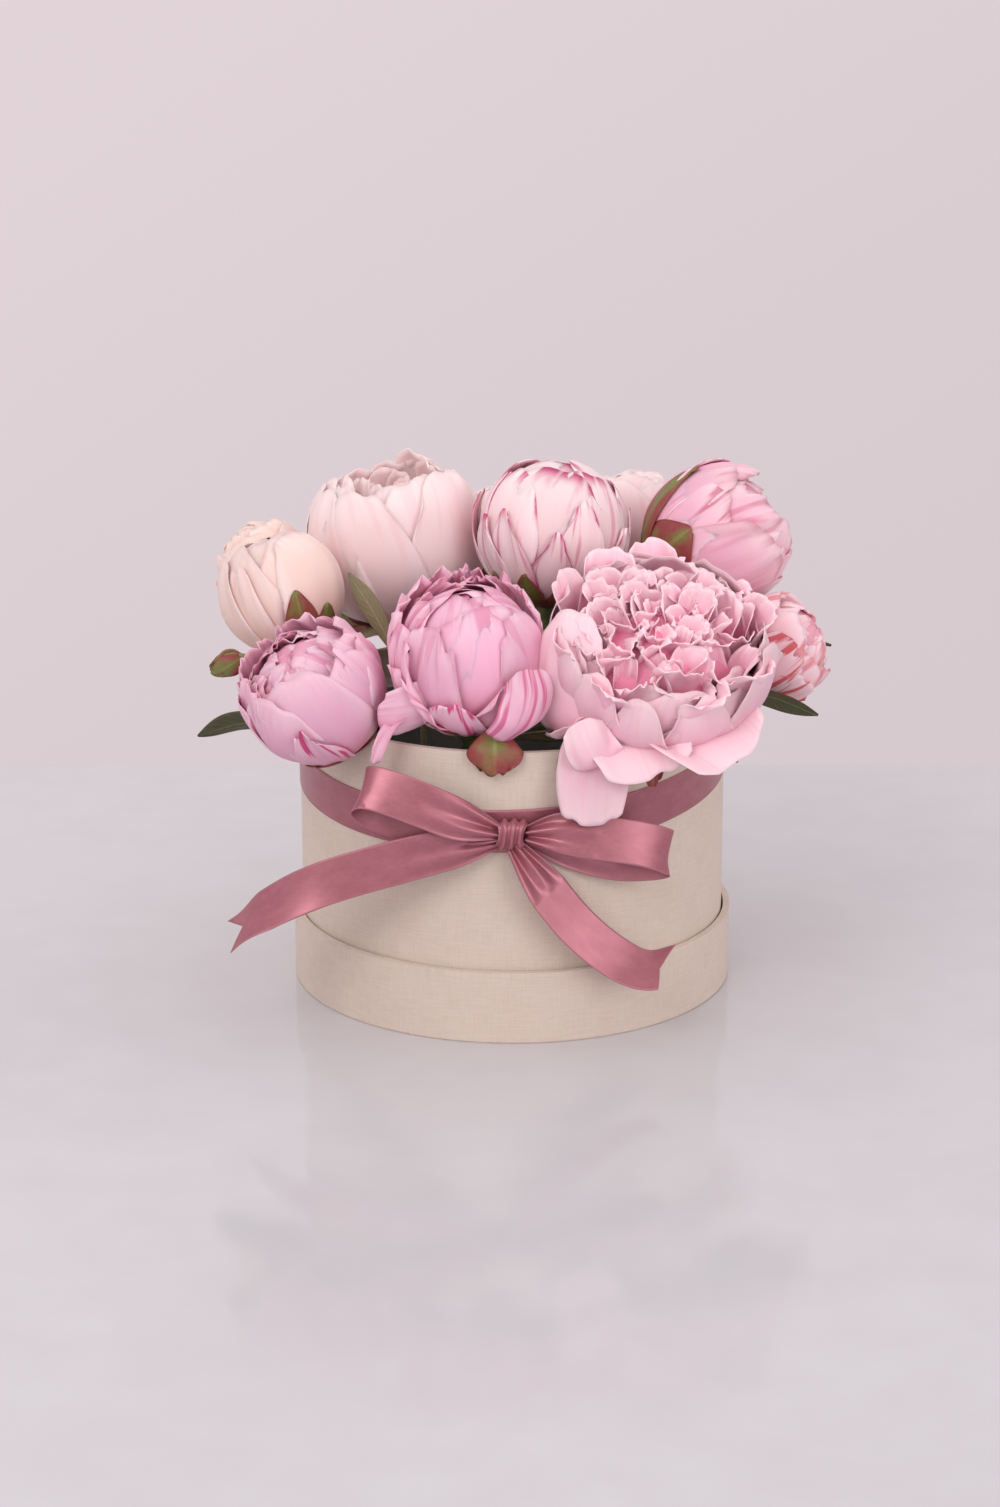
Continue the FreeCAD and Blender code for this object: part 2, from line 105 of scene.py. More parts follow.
class Heap:  # gathers grids of points into one mesh
    def __init__(self):
        self.points, self.faces, self.marks, self.count = [], [], {}, 0

    def add(self, grid, closed=False, **marks):
        rows, columns = grid.shape[:2]
        for j in range(rows - 1):
            first = self.count + j * columns
            for i in range(columns if closed else columns - 1):
                a, b = first + i, first + (i + 1) % columns
                self.faces.append((a, b, b + columns, a + columns))
        self.points.append(grid.reshape(-1, 3))
        for name, value in marks.items():
            self.marks.setdefault(name, []).append((np.ones((rows, columns)) * value).reshape(-1))
        self.count += rows * columns

    def reshape(self, change):
        self.points = [change(points) for points in self.points]

    def mesh(self, name, thickness=0.0):
        data = bpy.data.meshes.new(name)
        data.from_pydata((np.concatenate(self.points) * mm).tolist(), [], self.faces)
        for mark, values in self.marks.items():
            layer = data.attributes.new(mark, "FLOAT", "POINT")
            layer.data.foreach_set("value", np.concatenate(values).astype(np.float32))
        data.polygons.foreach_set("use_smooth", [True] * len(data.polygons))
        data.update()
        obj = bpy.data.objects.new(name, data)
        bpy.context.scene.collection.objects.link(obj)
        if thickness:
            skin = obj.modifiers.new("thickness", "SOLIDIFY")
            skin.thickness = thickness * mm
            skin.offset = 0
        return obj


# shader helpers

def sumOf(operation):
    return lambda *values: values[0].wires.calc(operation, *values)


class Value:  # a number that a node gives, to write sums with
    __add__, __sub__, __mul__ = sumOf("ADD"), sumOf("SUBTRACT"), sumOf("MULTIPLY")
    __truediv__, __pow__, __abs__ = sumOf("DIVIDE"), sumOf("POWER"), sumOf("ABSOLUTE")

    def __init__(self, wires, socket):
        self.wires, self.socket = wires, socket


class Wires:  # a node tree, with short names for what is built in it
    def __init__(self, tree):
        self.tree = tree

    def feed(self, socket, value):
        value = value.socket if isinstance(value, Value) else value
        if isinstance(value, bpy.types.NodeSocket):
            self.tree.links.new(value, socket)
        else:
            socket.default_value = value

    def node(self, kind, *values):  # a new node, its first sockets fed
        node = self.tree.nodes.new("ShaderNode" + kind)
        for socket, value in zip(node.inputs, values):
            self.feed(socket, value)
        return node

    def calc(self, operation, *values):
        node = self.node("Math", *values)
        node.operation = operation
        return Value(self, node.outputs[0])

    def ramp(self, *values):  # value, low, high, then what is given at low and at high if not 0 and 1
        node = self.node("MapRange", *values)
        node.interpolation_type = "SMOOTHSTEP"
        return Value(self, node.outputs[0])

    def blend(self, share, a, b):  # two colours
        node = self.node("Mix")
        node.data_type = "RGBA"
        for k, value in ((0, share), (6, a), (7, b)):    # the colour sockets come after those for other kinds
            self.feed(node.inputs[k], value)
        return node.outputs[2]

    def split(self, place):
        return [Value(self, socket) for socket in self.node("SeparateXYZ", place).outputs]

    def noise(self, place, scale=1.0, detail=2.0, rough=0.5):
        node = self.node("TexNoise")
        for label, value in (("Vector", place), ("Scale", scale), ("Detail", detail), ("Roughness", rough)):
            self.feed(node.inputs[label], value)
        return Value(self, node.outputs[0])

    def noiseAt(self, x, y, z=0.0, detail=2.0, rough=0.5):
        return self.noise(self.node("CombineXYZ", x, y, z).outputs[0], 1.0, detail, rough)

    def mark(self, name):
        node = self.node("Attribute")
        node.attribute_name = name
        return Value(self, node.outputs["Fac"])

    def ownPlace(self):
        return self.node("TexCoord").outputs["Object"]

    def give(self, **outputs):  # what a finished group gives
        for label in outputs:
            kind = "NodeSocketColor" if label == "Color" else "NodeSocketFloat"
            self.tree.interface.new_socket(name=label, in_out="OUTPUT", socket_type=kind)
        end = self.tree.nodes.new("NodeGroupOutput")
        for label, value in outputs.items():
            self.feed(end.inputs[label], value)
        return self.tree


def newEffect(name, colours, numbers):
    group = bpy.data.node_groups.new(name, "ShaderNodeTree")
    for label in colours + numbers:
        kind = "NodeSocketColor" if label in colours else "NodeSocketFloat"
        group.interface.new_socket(name=label, in_out="INPUT", socket_type=kind)
    return Wires(group), group.nodes.new("NodeGroupInput").outputs


def newFinish(name, effect, values, bump, depth, **shader):  # a material round one of the effects
    finish = bpy.data.materials.new(name)
    finish.use_nodes = True
    wires = Wires(finish.node_tree)
    skin = finish.node_tree.nodes["Principled BSDF"]
    node = wires.node("Group")
    node.node_tree = effect
    for label, value in values.items():
        node.inputs[label].default_value = tint(*value) if isinstance(value, tuple) else value
    wires.feed(skin.inputs["Base Color"], node.outputs["Color"])
    if "Roughness" in node.outputs:
        wires.feed(skin.inputs["Roughness"], node.outputs["Roughness"])
    relief = wires.node("Bump")
    for label, value in (("Strength", bump), ("Distance", depth * mm), ("Height", node.outputs["Height"])):
        wires.feed(relief.inputs[label], value)
    wires.feed(skin.inputs["Normal"], relief.outputs["Normal"])
    for label, value in shader.items():
        skin.inputs[label.replace("_", " ")].default_value = value
    return finish


# effects shared by several finishes

def makeWeave():  # plain linen weave that runs round the box
    g, given = newEffect("linenWeave", ["Thread", "Gap"], ["Pitch"])
    alongThread, acrossThread, overall = 0.09, 1.1, 0.03    # how fast the cloth changes, per millimetre
    x, y, z = g.split(g.ownPlace())
    arc = g.calc("ARCTAN2", y, x) * boxRadius
    rise = (z - g.calc("SQRT", x * x + y * y)) * (1 / mm)
    warp, weft = (g.calc("SINE", way / given["Pitch"] * fullTurn) for way in (arc, rise))
    cross = warp * weft
    slubAcross = g.noiseAt(arc * alongThread, rise * acrossThread, detail=3.0, rough=0.6)
    slubDown = g.noiseAt(arc * acrossThread, rise * alongThread, 7.0, detail=3.0, rough=0.6)
    slub = slubAcross * 0.55 + slubDown * 0.45
    shade = cross * 0.13 + slub + g.noiseAt(arc * overall, rise * overall) * 0.2
    return g.give(Color=g.blend(g.ramp(shade, 0.25, 0.95), given["Gap"], given["Thread"]),
                  Height=cross * 0.25 + slub * 1.1, Roughness=g.ramp(slub, 0.3, 0.7, 0.92, 0.78))


def makeGrain():  # board, paper, foam, plastic: two colours broken up by grain
    g, given = newEffect("fineGrain", ["Light", "Dark"], ["Scale"])
    fine, broad = g.noise(g.ownPlace(), given["Scale"], detail=4.0), g.noise(g.ownPlace(), scale=28.0)
    share = g.ramp(fine * 0.75 + broad * 0.4, 0.4, 0.75)
    return g.give(Color=g.blend(share, given["Dark"], given["Light"]), Height=fine)


def makePetalTint():  # foot, blade and rim colours, fine veins and flecks, with painted shade in the foot colour and in each petal's brightness
    g, given = newEffect("petalTint", ["Foot", "Blade", "Rim", "Fleck"], ["Flecks", "Edging"])
    lengthwise, across, tone = g.mark("lengthwise"), g.mark("across"), g.mark("tone")
    side, shift = abs(across), tone * 37.0

    def lines(wide, long, detail, rough=0.5):  # noise drawn out along the petal
        return g.noiseAt(across * wide + shift, lengthwise * long, shift, detail, rough)

    vein, broad = lines(wide=13.0, long=1.6, detail=3.0, rough=0.6), lines(wide=1.3, long=1.5, detail=1.0)
    line = lines(wide=3.6, long=1.3, detail=2.0, rough=0.55)
    edge = g.calc("MAXIMUM", side ** 3.0, lengthwise ** 5.0)
    # deeper pink towards each petal's foot: partly the petal's own colour, partly painted shade for the gaps between
    # petals
    colour = g.blend(g.ramp(lengthwise, 0.08, 0.62), given["Foot"], given["Blade"])
    colour = g.blend(g.ramp(broad * 0.6 + edge, 0.3, 1.25), colour, given["Rim"])
    colour = g.blend(g.ramp(vein, 0.5, 0.8, 0.0, 0.18), colour, given["Foot"])
    streaks = g.ramp(edge * 0.1 + line, 0.56, 0.68) * given["Flecks"] * g.mark("streak")
    border = g.ramp(g.calc("MAXIMUM", side, lengthwise), 0.86, 1.0) * g.ramp(line, 0.4, 0.58) * given["Edging"]
    fleck = g.calc("MAXIMUM", g.calc("MINIMUM", streaks, 0.9), border)
    # each petal's brightness follows its tone: a random part, lowered by painted shade and raised by painted light
    bright = g.node("HueSaturation")
    g.feed(bright.inputs["Value"], tone * 0.1 + 0.95)
    g.feed(bright.inputs["Color"], g.blend(fleck, colour, given["Fleck"]))
    return g.give(Color=bright.outputs[0], Height=vein, Roughness=g.ramp(vein, 0.3, 0.7, 0.5, 0.66))


def makeSatin():  # fine lengthwise threads, painted sheen in broad bands, and a bound edge
    g, given = newEffect("satinThreads", ["Face", "Shade", "Edge"], [])
    run, across = g.mark("run"), g.mark("across")
    thread, paintedSheen = g.noiseAt(across * 46.0, run * 0.35), g.noiseAt(across * 2.0, run * 0.09, 3.0)
    bound = g.ramp(abs(across), 0.9, 0.95)
    ribs = g.calc("SINE", run * 9.0) * bound
    # the colour runs between Face and Shade with the threads and broad bands: painted sheen and shade on the satin
    colour = g.blend(g.ramp(thread * 0.6 + paintedSheen * 0.5, 0.35, 0.8), given["Shade"], given["Face"])
    return g.give(Color=g.blend(bound * 0.55, colour, given["Edge"]), Height=thread + ribs * 0.5,
                  Roughness=g.ramp(thread, 0.3, 0.7, 0.3, 0.36) + bound * 0.2)


def makeLeafTint():  # midrib, side veins, mottling and a blush
    g, given = newEffect("leafTint", ["Blade", "Rib", "Blush"], ["Blushing"])
    lengthwise, side = g.mark("lengthwise"), abs(g.mark("across"))
    rib = g.ramp(side, 0.03, 0.12, 1.0, 0.0)
    veins = (g.calc("SINE", (lengthwise - side * 0.22) * 62.0) * 0.5 + 0.5) ** 8.0
    mottle, spread = g.noise(g.ownPlace(), scale=180.0, detail=3.0), g.noise(g.ownPlace(), scale=60.0)
    colour = g.blend(veins * 0.25 + rib * 0.7, given["Blade"], given["Rib"])
    blush = g.ramp(side * 0.35 + spread, 0.5, 0.8) * given["Blushing"]
    colour = g.blend(blush, colour, given["Blush"])
    colour = g.blend(g.ramp(mottle, 0.45, 0.75, 0.0, 0.2), colour, given["Rib"])
    return g.give(Color=colour, Height=veins * 0.5 + rib, Roughness=g.ramp(mottle, 0.3, 0.7, 0.38, 0.55))


weave, grain, petalTint, satin, leafTint = makeWeave(), makeGrain(), makePetalTint(), makeSatin(), makeLeafTint()


# box, lid and insert: the CAD shapes with their own finishes

boxFinishes = {
    "linen cloth": dict(
        wornBy=["box_cover", "lid_rim_cover", "lid_panel_cover"], effect=weave, bump=0.55, depth=0.25,
        values=dict(Thread=(226, 208, 196), Gap=(208, 188, 175), Pitch=0.75),
        Sheen_Weight=0.15, Specular_IOR_Level=0.25),
    "grey board": dict(
        wornBy=["box_wall", "box_base", "lid_rim", "lid_panel"], effect=grain, bump=0.3, depth=0.1,
        values=dict(Light=(170, 160, 148), Dark=(140, 130, 118), Scale=500.0), Roughness=0.9),
    "lining paper": dict(
        wornBy=["box_lining", "lid_lining", "box_base_paper"], effect=grain, bump=0.2, depth=0.05,
        values=dict(Light=(238, 230, 218), Dark=(224, 214, 200), Scale=700.0), Roughness=0.8),
    "moulded liner": dict(
        wornBy=["waterproof_liner"], effect=grain, bump=0.05, depth=0.1,
        values=dict(Light=(226, 230, 226), Dark=(212, 218, 214), Scale=90.0), Roughness=0.22),
    # the foam is coloured darker than its own green, as painted shade between the flowers
    "wet foam": dict(
        wornBy=["floral_foam"], effect=grain, bump=0.8, depth=0.5,
        values=dict(Light=(40, 46, 34), Dark=(24, 28, 22), Scale=900.0), Roughness=0.85),
    "flower stem": dict(
        wornBy=[name for name in nodes if name.startswith("stem_")], effect=grain, bump=0.15, depth=0.2,
        values=dict(Light=(122, 138, 84), Dark=(84, 100, 56), Scale=160.0), Roughness=0.5),
}
finishes = {}
for title, settings in boxFinishes.items():
    wornBy = settings.pop("wornBy")
    finishes[title] = newFinish(title, **settings)
    for name in wornBy:
        nodes[name].data.materials.clear()
        nodes[name].data.materials.append(finishes[title])
print("box, lid and insert painted")


def place(obj, finish, body, slot, *stands):
    obj.data.materials.append(finish)
    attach(obj, body)
    if stands:
        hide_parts(*stands)


# ribbon

ribbon = {
    "width": 20.0, "thickness": 0.3, "grid": (25, 120), "steps": 240,
    "tightest": 0.2, "pleats": 2.0, "pleatDepth": 1.2, "pleatShift": 0.6,
    "band": dict(level=110.5, tiltDepth=0.10, tiltSide=0.0365, radius=100.4, slack=0.12, grid=(180, 15)),
    "colours": dict(Face=(178, 108, 120), Shade=(160, 92, 103), Edge=(190, 128, 139)),
}
ribbonSatin = newFinish("rose satin", satin, ribbon["colours"], bump=0.05, depth=0.1, Specular_IOR_Level=0.75,
                        Metallic=0.4)


def ribbonPiece(name, grid, stands, closed=False, **marks):
    heap = Heap()
    heap.add(grid, closed, **marks)
    obj = heap.mesh(name, ribbon["thickness"])
    place(obj, ribbonSatin, "box", "satin_ribbon", stands)
    return obj


def makeBand():
    band = ribbon["band"]
    around, columns = band["grid"]
    angles, u = ring(around), np.linspace(-1, 1, columns)[:, None]
    x, y = band["radius"] * np.cos(angles), band["radius"] * np.sin(angles)
    loose = 1 + band["slack"] / boxRadius * np.sin(angles * 7) * np.sin(angles * 3 + 1)
    grid = np.zeros((columns, around, 3))
    grid[..., 0], grid[..., 1] = x * loose, y * loose
    grid[..., 2] = band["level"] + band["tiltDepth"] * y + band["tiltSide"] * x + u * ribbon["width"] / 2
    obj = ribbonPiece("ribbon_round_box", grid, "ribbon_band", True, run=angles * band["radius"], across=u)


# centres: points of the middle line; widths: direction of the width at each; gathered: share of the width left there
# notch and slant: depth of the swallow tail, and how much shorter the lower edge is cut
bowPieces = {
    "bow_left": dict(
        stands="bow_loop_left", held="folded", gathered=[0.35, 0.9, 1, 1, 1, 1, 1, 1, 0.7, 0.35],
        centres=[(-5.5, -106, 101.5), (-22.5, -109.5, 108), (-41, -110, 116), (-57, -108, 121.5), (-66, -104.5, 122),
                 (-67, -99, 115.5), (-57, -96, 107), (-38, -98.5, 103), (-16, -103.5, 102), (-5.5, -104.5, 100.5)],
        widths=[(0.3, 0.2, 0.9), (0.4, 0.25, 0.88), (0.4, 0.27, 0.87), (0.33, 0.36, 0.87), (0.3, 0.4, 0.87),
                (0.3, 0.35, 0.88), (0.28, 0.2, 0.93), (0.2, 0.15, 0.95), (0.12, 0.1, 0.97), (0.1, 0.1, 0.97)]),
    "bow_right": dict(
        stands="bow_loop_right", held="folded", gathered=[0.32, 0.9, 1, 1, 1, 1, 1, 1, 0.9, 0.35],
        centres=[(5.5, -106, 101), (20.8, -109.5, 102.6), (38.6, -110, 100.4), (56.6, -108, 97), (68, -104, 92.5),
                 (69, -99, 89), (62, -97, 86.5), (46, -97, 86.5), (25.5, -99.5, 92), (5.5, -104, 98.5)],
        widths=[(0, 0.3, 0.95), (0.02, 0.28, 0.95), (0.05, 0.28, 0.95), (0.1, 0.3, 0.95), (0.2, 0.3, 0.92),
                (0.15, 0.28, 0.94), (0.05, 0.25, 0.96), (0.1, 0.25, 0.96), (0.2, 0.2, 0.94), (0.1, 0.2, 0.95)]),
    "ribbon_end_left": dict(
        stands="ribbon_tail_left", held="hung", notch=9.0, gathered=[0.34, 0.88, 1, 1, 1, 1],
        centres=[(-6, -103.6, 97), (-24, -106, 94.5), (-50.4, -108, 88.7), (-86, -109, 78), (-111, -105, 64.5),
                 (-128, -100, 50)],
        widths=[(0.1, 0.1, 0.95), (0.2, 0.12, 0.95), (0.24, 0.2, 0.94), (0.4, 0.22, 0.88), (0.55, 0.2, 0.8),
                (0.6, 0.2, 0.76)]),
    "ribbon_end_right": dict(
        stands="ribbon_tail_right", held="hung", notch=4.0, slant=13.0, gathered=[0.4, 0.97, 1, 1, 1, 1],
        centres=[(0.4, -107, 95.5), (14.3, -109, 76.8), (30, -110, 57.5), (47, -110.5, 43.5), (61, -110, 37.8),
                 (76, -108, 41)],
        widths=[(0.8, 0.3, 0.3), (0.65, 0.5, 0.5), (0.6, 0.5, 0.6), (0.42, 0.55, 0.7), (0.15, 0.7, 0.68),
                (-0.1, 0.8, 0.55)]),
}


def makeBow():
    steps, (columns, rows) = ribbon["steps"], ribbon["grid"]
    u = np.linspace(-1, 1, columns)[None, :] * np.ones((rows, 1))
    for name, piece in bowPieces.items():
        notch, slant = piece.get("notch", 0.0), piece.get("slant", 0.0)
        line, ways = smoothLine(piece["centres"], steps), unit(smoothLine(unit(piece["widths"]), steps))
        kept = np.clip(smoothLine(np.array(piece["gathered"])[:, None], steps), ribbon["tightest"], 1.0)
        length = np.linalg.norm(np.diff(line, axis=0), axis=1).sum()
        cut = notch / length * (1 - np.abs(u)) + slant / length * (1 - u) / 2
        share = np.linspace(0, 1, rows)[:, None] * (1 - cut)
        ahead, keep = heading(line, share, step=0.01), along(line, share, kept)[..., 0]
        face = unit(np.cross(ahead, unit(along(line, share, ways))))
        half, turns = ribbon["width"] / 2 * keep, ribbon["pleats"] * math.pi
        slope = np.sqrt(np.clip(1 / keep ** 2 - 1, 0, None))    # pleats take up the width that is gathered
        deep = ribbon["pleatDepth"] * slope * half / turns * np.sin(turns * u + ribbon["pleatShift"])
        grid = along(line, share) + np.cross(face, ahead) * (u * half)[..., None] + face * deep[..., None]
        obj = ribbonPiece(name, grid, piece["stands"], run=share * length, across=u)


knot = dict(centre=(-1.0, -105.3, 100.6), width=12.5, depth=9.0, height=12.5, wraps=38.0, grid=(33, 73),
            squareness=0.75, swell=0.16, pinch=0.12, tilt=0.12, pleatDepth=0.75, pleats=3.2, pleatShift=0.5,
            pleatSwing=0.4)


def makeKnot():  # one turn of the ribbon over the middle of the bow, gathered to narrow pleats
    columns, rows = knot["grid"]
    t, u = np.linspace(0, fullTurn, rows)[:, None], np.linspace(-1, 1, columns)[None, :]

    def bulge(wave, size):  # side of a rounded square
        return np.sign(wave) * np.abs(wave) ** knot["squareness"] * size / 2

    turn = np.hstack([0 * t, bulge(np.cos(t), knot["depth"]), bulge(np.sin(t), knot["height"])])
    swell = 1 - knot["swell"] * np.abs(u) ** 3
    pleat = knot["pleatDepth"] * np.sin(u * knot["pleats"] * math.pi + knot["pleatShift"])
    pleat = pleat * (1 + knot["pleatSwing"] * np.sin(t * 2))
    grid = turn[:, None] * swell[..., None] + unit(turn)[:, None] * pleat[..., None]
    pinch = 1 - knot["pinch"] * np.cos(2 * t)
    grid[..., 0] = u * knot["width"] / 2 * pinch + grid[..., 2] * knot["tilt"]
    grid += np.array(knot["centre"])
    obj = ribbonPiece("knot", grid, "bow_knot", run=t * knot["wraps"] / fullTurn, across=u)


makeBand()
makeBow()
makeKnot()
print("ribbon tied")


# petals

smoothPetal = dict(grid=(17, 20), foot=0.3, blunt=0.6, nick=0.05, round=0.13, flare=0.8, tuck=0.9, ruffle=0.9,
                   waves=1.2, swell=0.9)
frilledPetal = dict(grid=(27, 20), foot=0.25, blunt=0.76, nick=0.14, round=0.10, flare=1.0, tuck=0.6, ruffle=1.8,
                    waves=2.7, swell=1.2)
heartPetal = dict(grid=(21, 16), foot=0.35, blunt=0.8, nick=0.10, round=0.08, flare=0.0, tuck=0.6, ruffle=2.2,
                  waves=1.9, swell=1.6)
cupPetal = dict(smoothPetal, grid=(21, 24), blunt=0.62, round=0.12, nick=0.05, swell=1.3)
openPetal = dict(smoothPetal, grid=(23, 22), blunt=0.66, round=0.2, nick=0.06, swell=1.7, waves=1.5)
hangingPetal = dict(smoothPetal, grid=(21, 24), ruffle=1.8, blunt=0.82, nick=0.05, foot=0.75, round=0.1, swell=1.4,
                    pale=0.6)
petalThickness = 0.35
petalShader = dict(Subsurface_Weight=0.3, Subsurface_Scale=0.0003, Subsurface_Radius=(1.0, 0.6, 0.62),
                   Specular_IOR_Level=0.2)
footRadius = 4.0     # where the petals of a wide flower start


def wobble(x, y, rand, waves=5):  # uneven waves, mostly between -1 and 1
    total = np.zeros_like(x)
    for k in range(waves):
        a, b = rand.normal(0, 1, 2)
        strength = (0.8 + 0.2 * a) / (1 + 0.45 * k)
        total += strength * np.sin(x * (2.0 + 1.9 * k) + y * b * 3.0 + rand.uniform(0, 7))
    return total / 2.2


def blade(look, rand):  # places across and along a petal, share of its half width, share of its line
    columns, rows = look["grid"]
    u = np.linspace(-1, 1, columns)[None, :] * np.ones((rows, 1))
    v = np.linspace(0, 1, rows)[:, None] * np.ones((1, columns))
    widest = 0.6
    opening = look["foot"] + (1 - look["foot"]) * np.sin(math.pi / 2 * np.clip(v / widest, 0, 1)) ** 1.1
    closing = 1 - (1 - look["blunt"]) * (np.clip(v - widest, 0, 1) / (1 - widest)) ** 2
    nick = look["nick"] * np.clip(wobble(u * 1.7, u * 0, rand, 3), 0, 1.2)
    return u, v, np.where(v < widest, opening, closing), v * (1 - look["round"] * np.abs(u) ** 2.4 - nick * v ** 4)


def ruffles(u, v, look, rand):  # waves along the edge, and a gentle swell over the blade
    edge = np.maximum(np.abs(u) ** 2.2, v ** 2.5) * np.clip(v * 2.2, 0, 1)
    waves = look["ruffle"] * edge * wobble(u * look["waves"], v * look["waves"], rand)
    return waves + look["swell"] * wobble(u * 1.2, v * 1.5, rand) * np.clip(v * 2, 0, 1)


def petal(heap, line, width, wrap, turn, look, rand, hub=(0.0, 0.0), streak=1.0, paintedShade=0.0):
    # line: radius and height from foot to tip, in the flower's own frame; wrap: radius that the blade curls round
    # hub: the point that the petal stands round; streak: how strongly this one is streaked
    # paintedShade: painted shade that darkens the whole petal; below 0 it is painted light that brightens it
    u, v, wide, share = blade(look, rand)
    middle, ahead = along(line, share), heading(line, share)
    lean = rand.normal(0, 0.09) * width * v ** 1.5
    angle = np.clip((u * wide * width / 2 + lean) / wrap, -1.45, 1.45)
    push = look["flare"] * v ** 3 + look["tuck"] * u * np.clip(v * 2, 0, 1) + ruffles(u, v, look, rand)
    off = push - wrap * (1 - np.cos(angle))
    x, y, z = middle[..., 0] + ahead[..., 1] * off, wrap * np.sin(angle), middle[..., 1] - ahead[..., 0] * off
    cos, sin = math.cos(math.radians(turn)), math.sin(math.radians(turn))
    heap.add(np.stack([x * cos - y * sin + hub[0], x * sin + y * cos + hub[1], z], axis=-1), lengthwise=v, across=u,
             tone=rand.uniform(0, 1) - paintedShade, streak=streak)


def freePetal(heap, look, rand, points, width, across, cup, streak=0.2, paintedShade=0.0):
    # a single petal, sepal or leaf along its own line in the box's frame; cup: sideways curl radius, minus curls back
    # paintedShade: painted shade that darkens the whole petal
    line = smoothLine(points, 60)
    u, v, wide, share = blade(look, rand)
    ahead = heading(line, share)
    face = unit(np.cross(ahead, np.asarray(across, float)))
    angle = np.clip(u * wide * width / 2 / abs(cup), -1.4, 1.4)
    off = ruffles(u, v, look, rand) + cup * (1 - np.cos(angle))
    sideways = np.cross(face, ahead) * (abs(cup) * np.sin(angle))[..., None]
    heap.add(along(line, share) + sideways + face * off[..., None], lengthwise=look.get("pale", 0.0) * (1 - v) + v,
             across=u, tone=rand.uniform(0, 1) - paintedShade, streak=streak)


def globeLine(radius, middle, first, last):
    angles = np.radians(np.linspace(first, last, 40))
    return np.stack([radius * np.sin(angles), middle - radius * np.cos(angles)], axis=1)


def innerBall(heap, radius, middle, wide=1.0):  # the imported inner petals, seen only through the gaps
    a, t = np.radians(np.linspace(0.2, 179.8, 25))[:, None], ring(48)[None, :]
    swell = radius * (1 + 0.02 * np.sin(7 * t + 5 * a))
    flat = wide * swell * np.sin(a)
    grid = np.stack([flat * np.cos(t), flat * np.sin(t), middle - swell * np.cos(a)], axis=-1)
    heap.add(grid, closed=True, lengthwise=0.3, across=0.0, tone=0.4, streak=0.0)


def ringPetals(flower, rand, twist, spread):  # turn, share of the round and ring settings of each petal
    for k, (count, *settings) in enumerate(flower["whorls"]):
        for i in range(count):
            turn = flower["spin"] + 360.0 * i / count + k * twist / count + rand.normal(0, spread)
            yield turn, fullTurn / count, *settings


def globePetal(heap, radius, rand, turn, layer, tip, width, frill, flare, streak=1.0, blunt=0.7):
    look = dict(frilledPetal if frill > 1.3 else smoothPetal, ruffle=frill, flare=flare, blunt=blunt)
    inside = radius - layer
    line = globeLine(inside, middle=radius, first=8.0, last=min(tip, 182.0))
    petal(heap, line, min(width, 2.6 * inside), wrap=inside * 0.98, turn=turn, look=look, rand=rand, streak=streak)


def closedFlower(heap, flower, rand):
    radius, openBelow = flower["size"], 135
    for turn, part, layer, tip, wide, frill in ringPetals(flower, rand, twist=200.0, spread=8):
        width = wide * part * (radius - layer) * rand.uniform(0.85, 1.15)
        last = tip + rand.normal(0, 5)
        flare = rand.uniform(-0.6, 1.5) if last < openBelow else rand.uniform(-1.2, 0.5)
        globePetal(heap, radius, rand, turn, layer + rand.uniform(-0.5, 0.5), last, width, frill, flare)
    for own in flower.get("petals", []):
        globePetal(heap, radius, rand, *own)
    deepest = flower["whorls"][-1][1]
    innerBall(heap, radius - deepest - 1.0, middle=radius)


def cupFlower(heap, flower, rand):
    radius, petals = flower["size"], list(flower["petals"])
    for turn, part, layer, tall, wide, frill in ringPetals(flower, rand, twist=200.0, spread=6):
        width = wide * part * (radius - layer) * rand.uniform(0.85, 1.1)
        petals.append((turn, layer, tall + rand.normal(0, 0.06), width, frill, rand.uniform(-1.0, 2.5)))
    for turn, layer, tall, width, frill, flare in petals:
        inside = radius - layer
        line = smoothLine([(footRadius, 1.0 + layer * 0.4), (0.66 * inside, 0.2 * radius),
                           (0.99 * inside, 0.75 * radius), (0.94 * inside, 0.8 * tall * radius),
                           (0.7 * inside, tall * radius)], 40)
        petal(heap, line, width, inside * 0.95, turn, dict(cupPetal, ruffle=frill, flare=flare), rand)
    innerBall(heap, radius * 0.48, middle=radius * 0.98, wide=1.3)


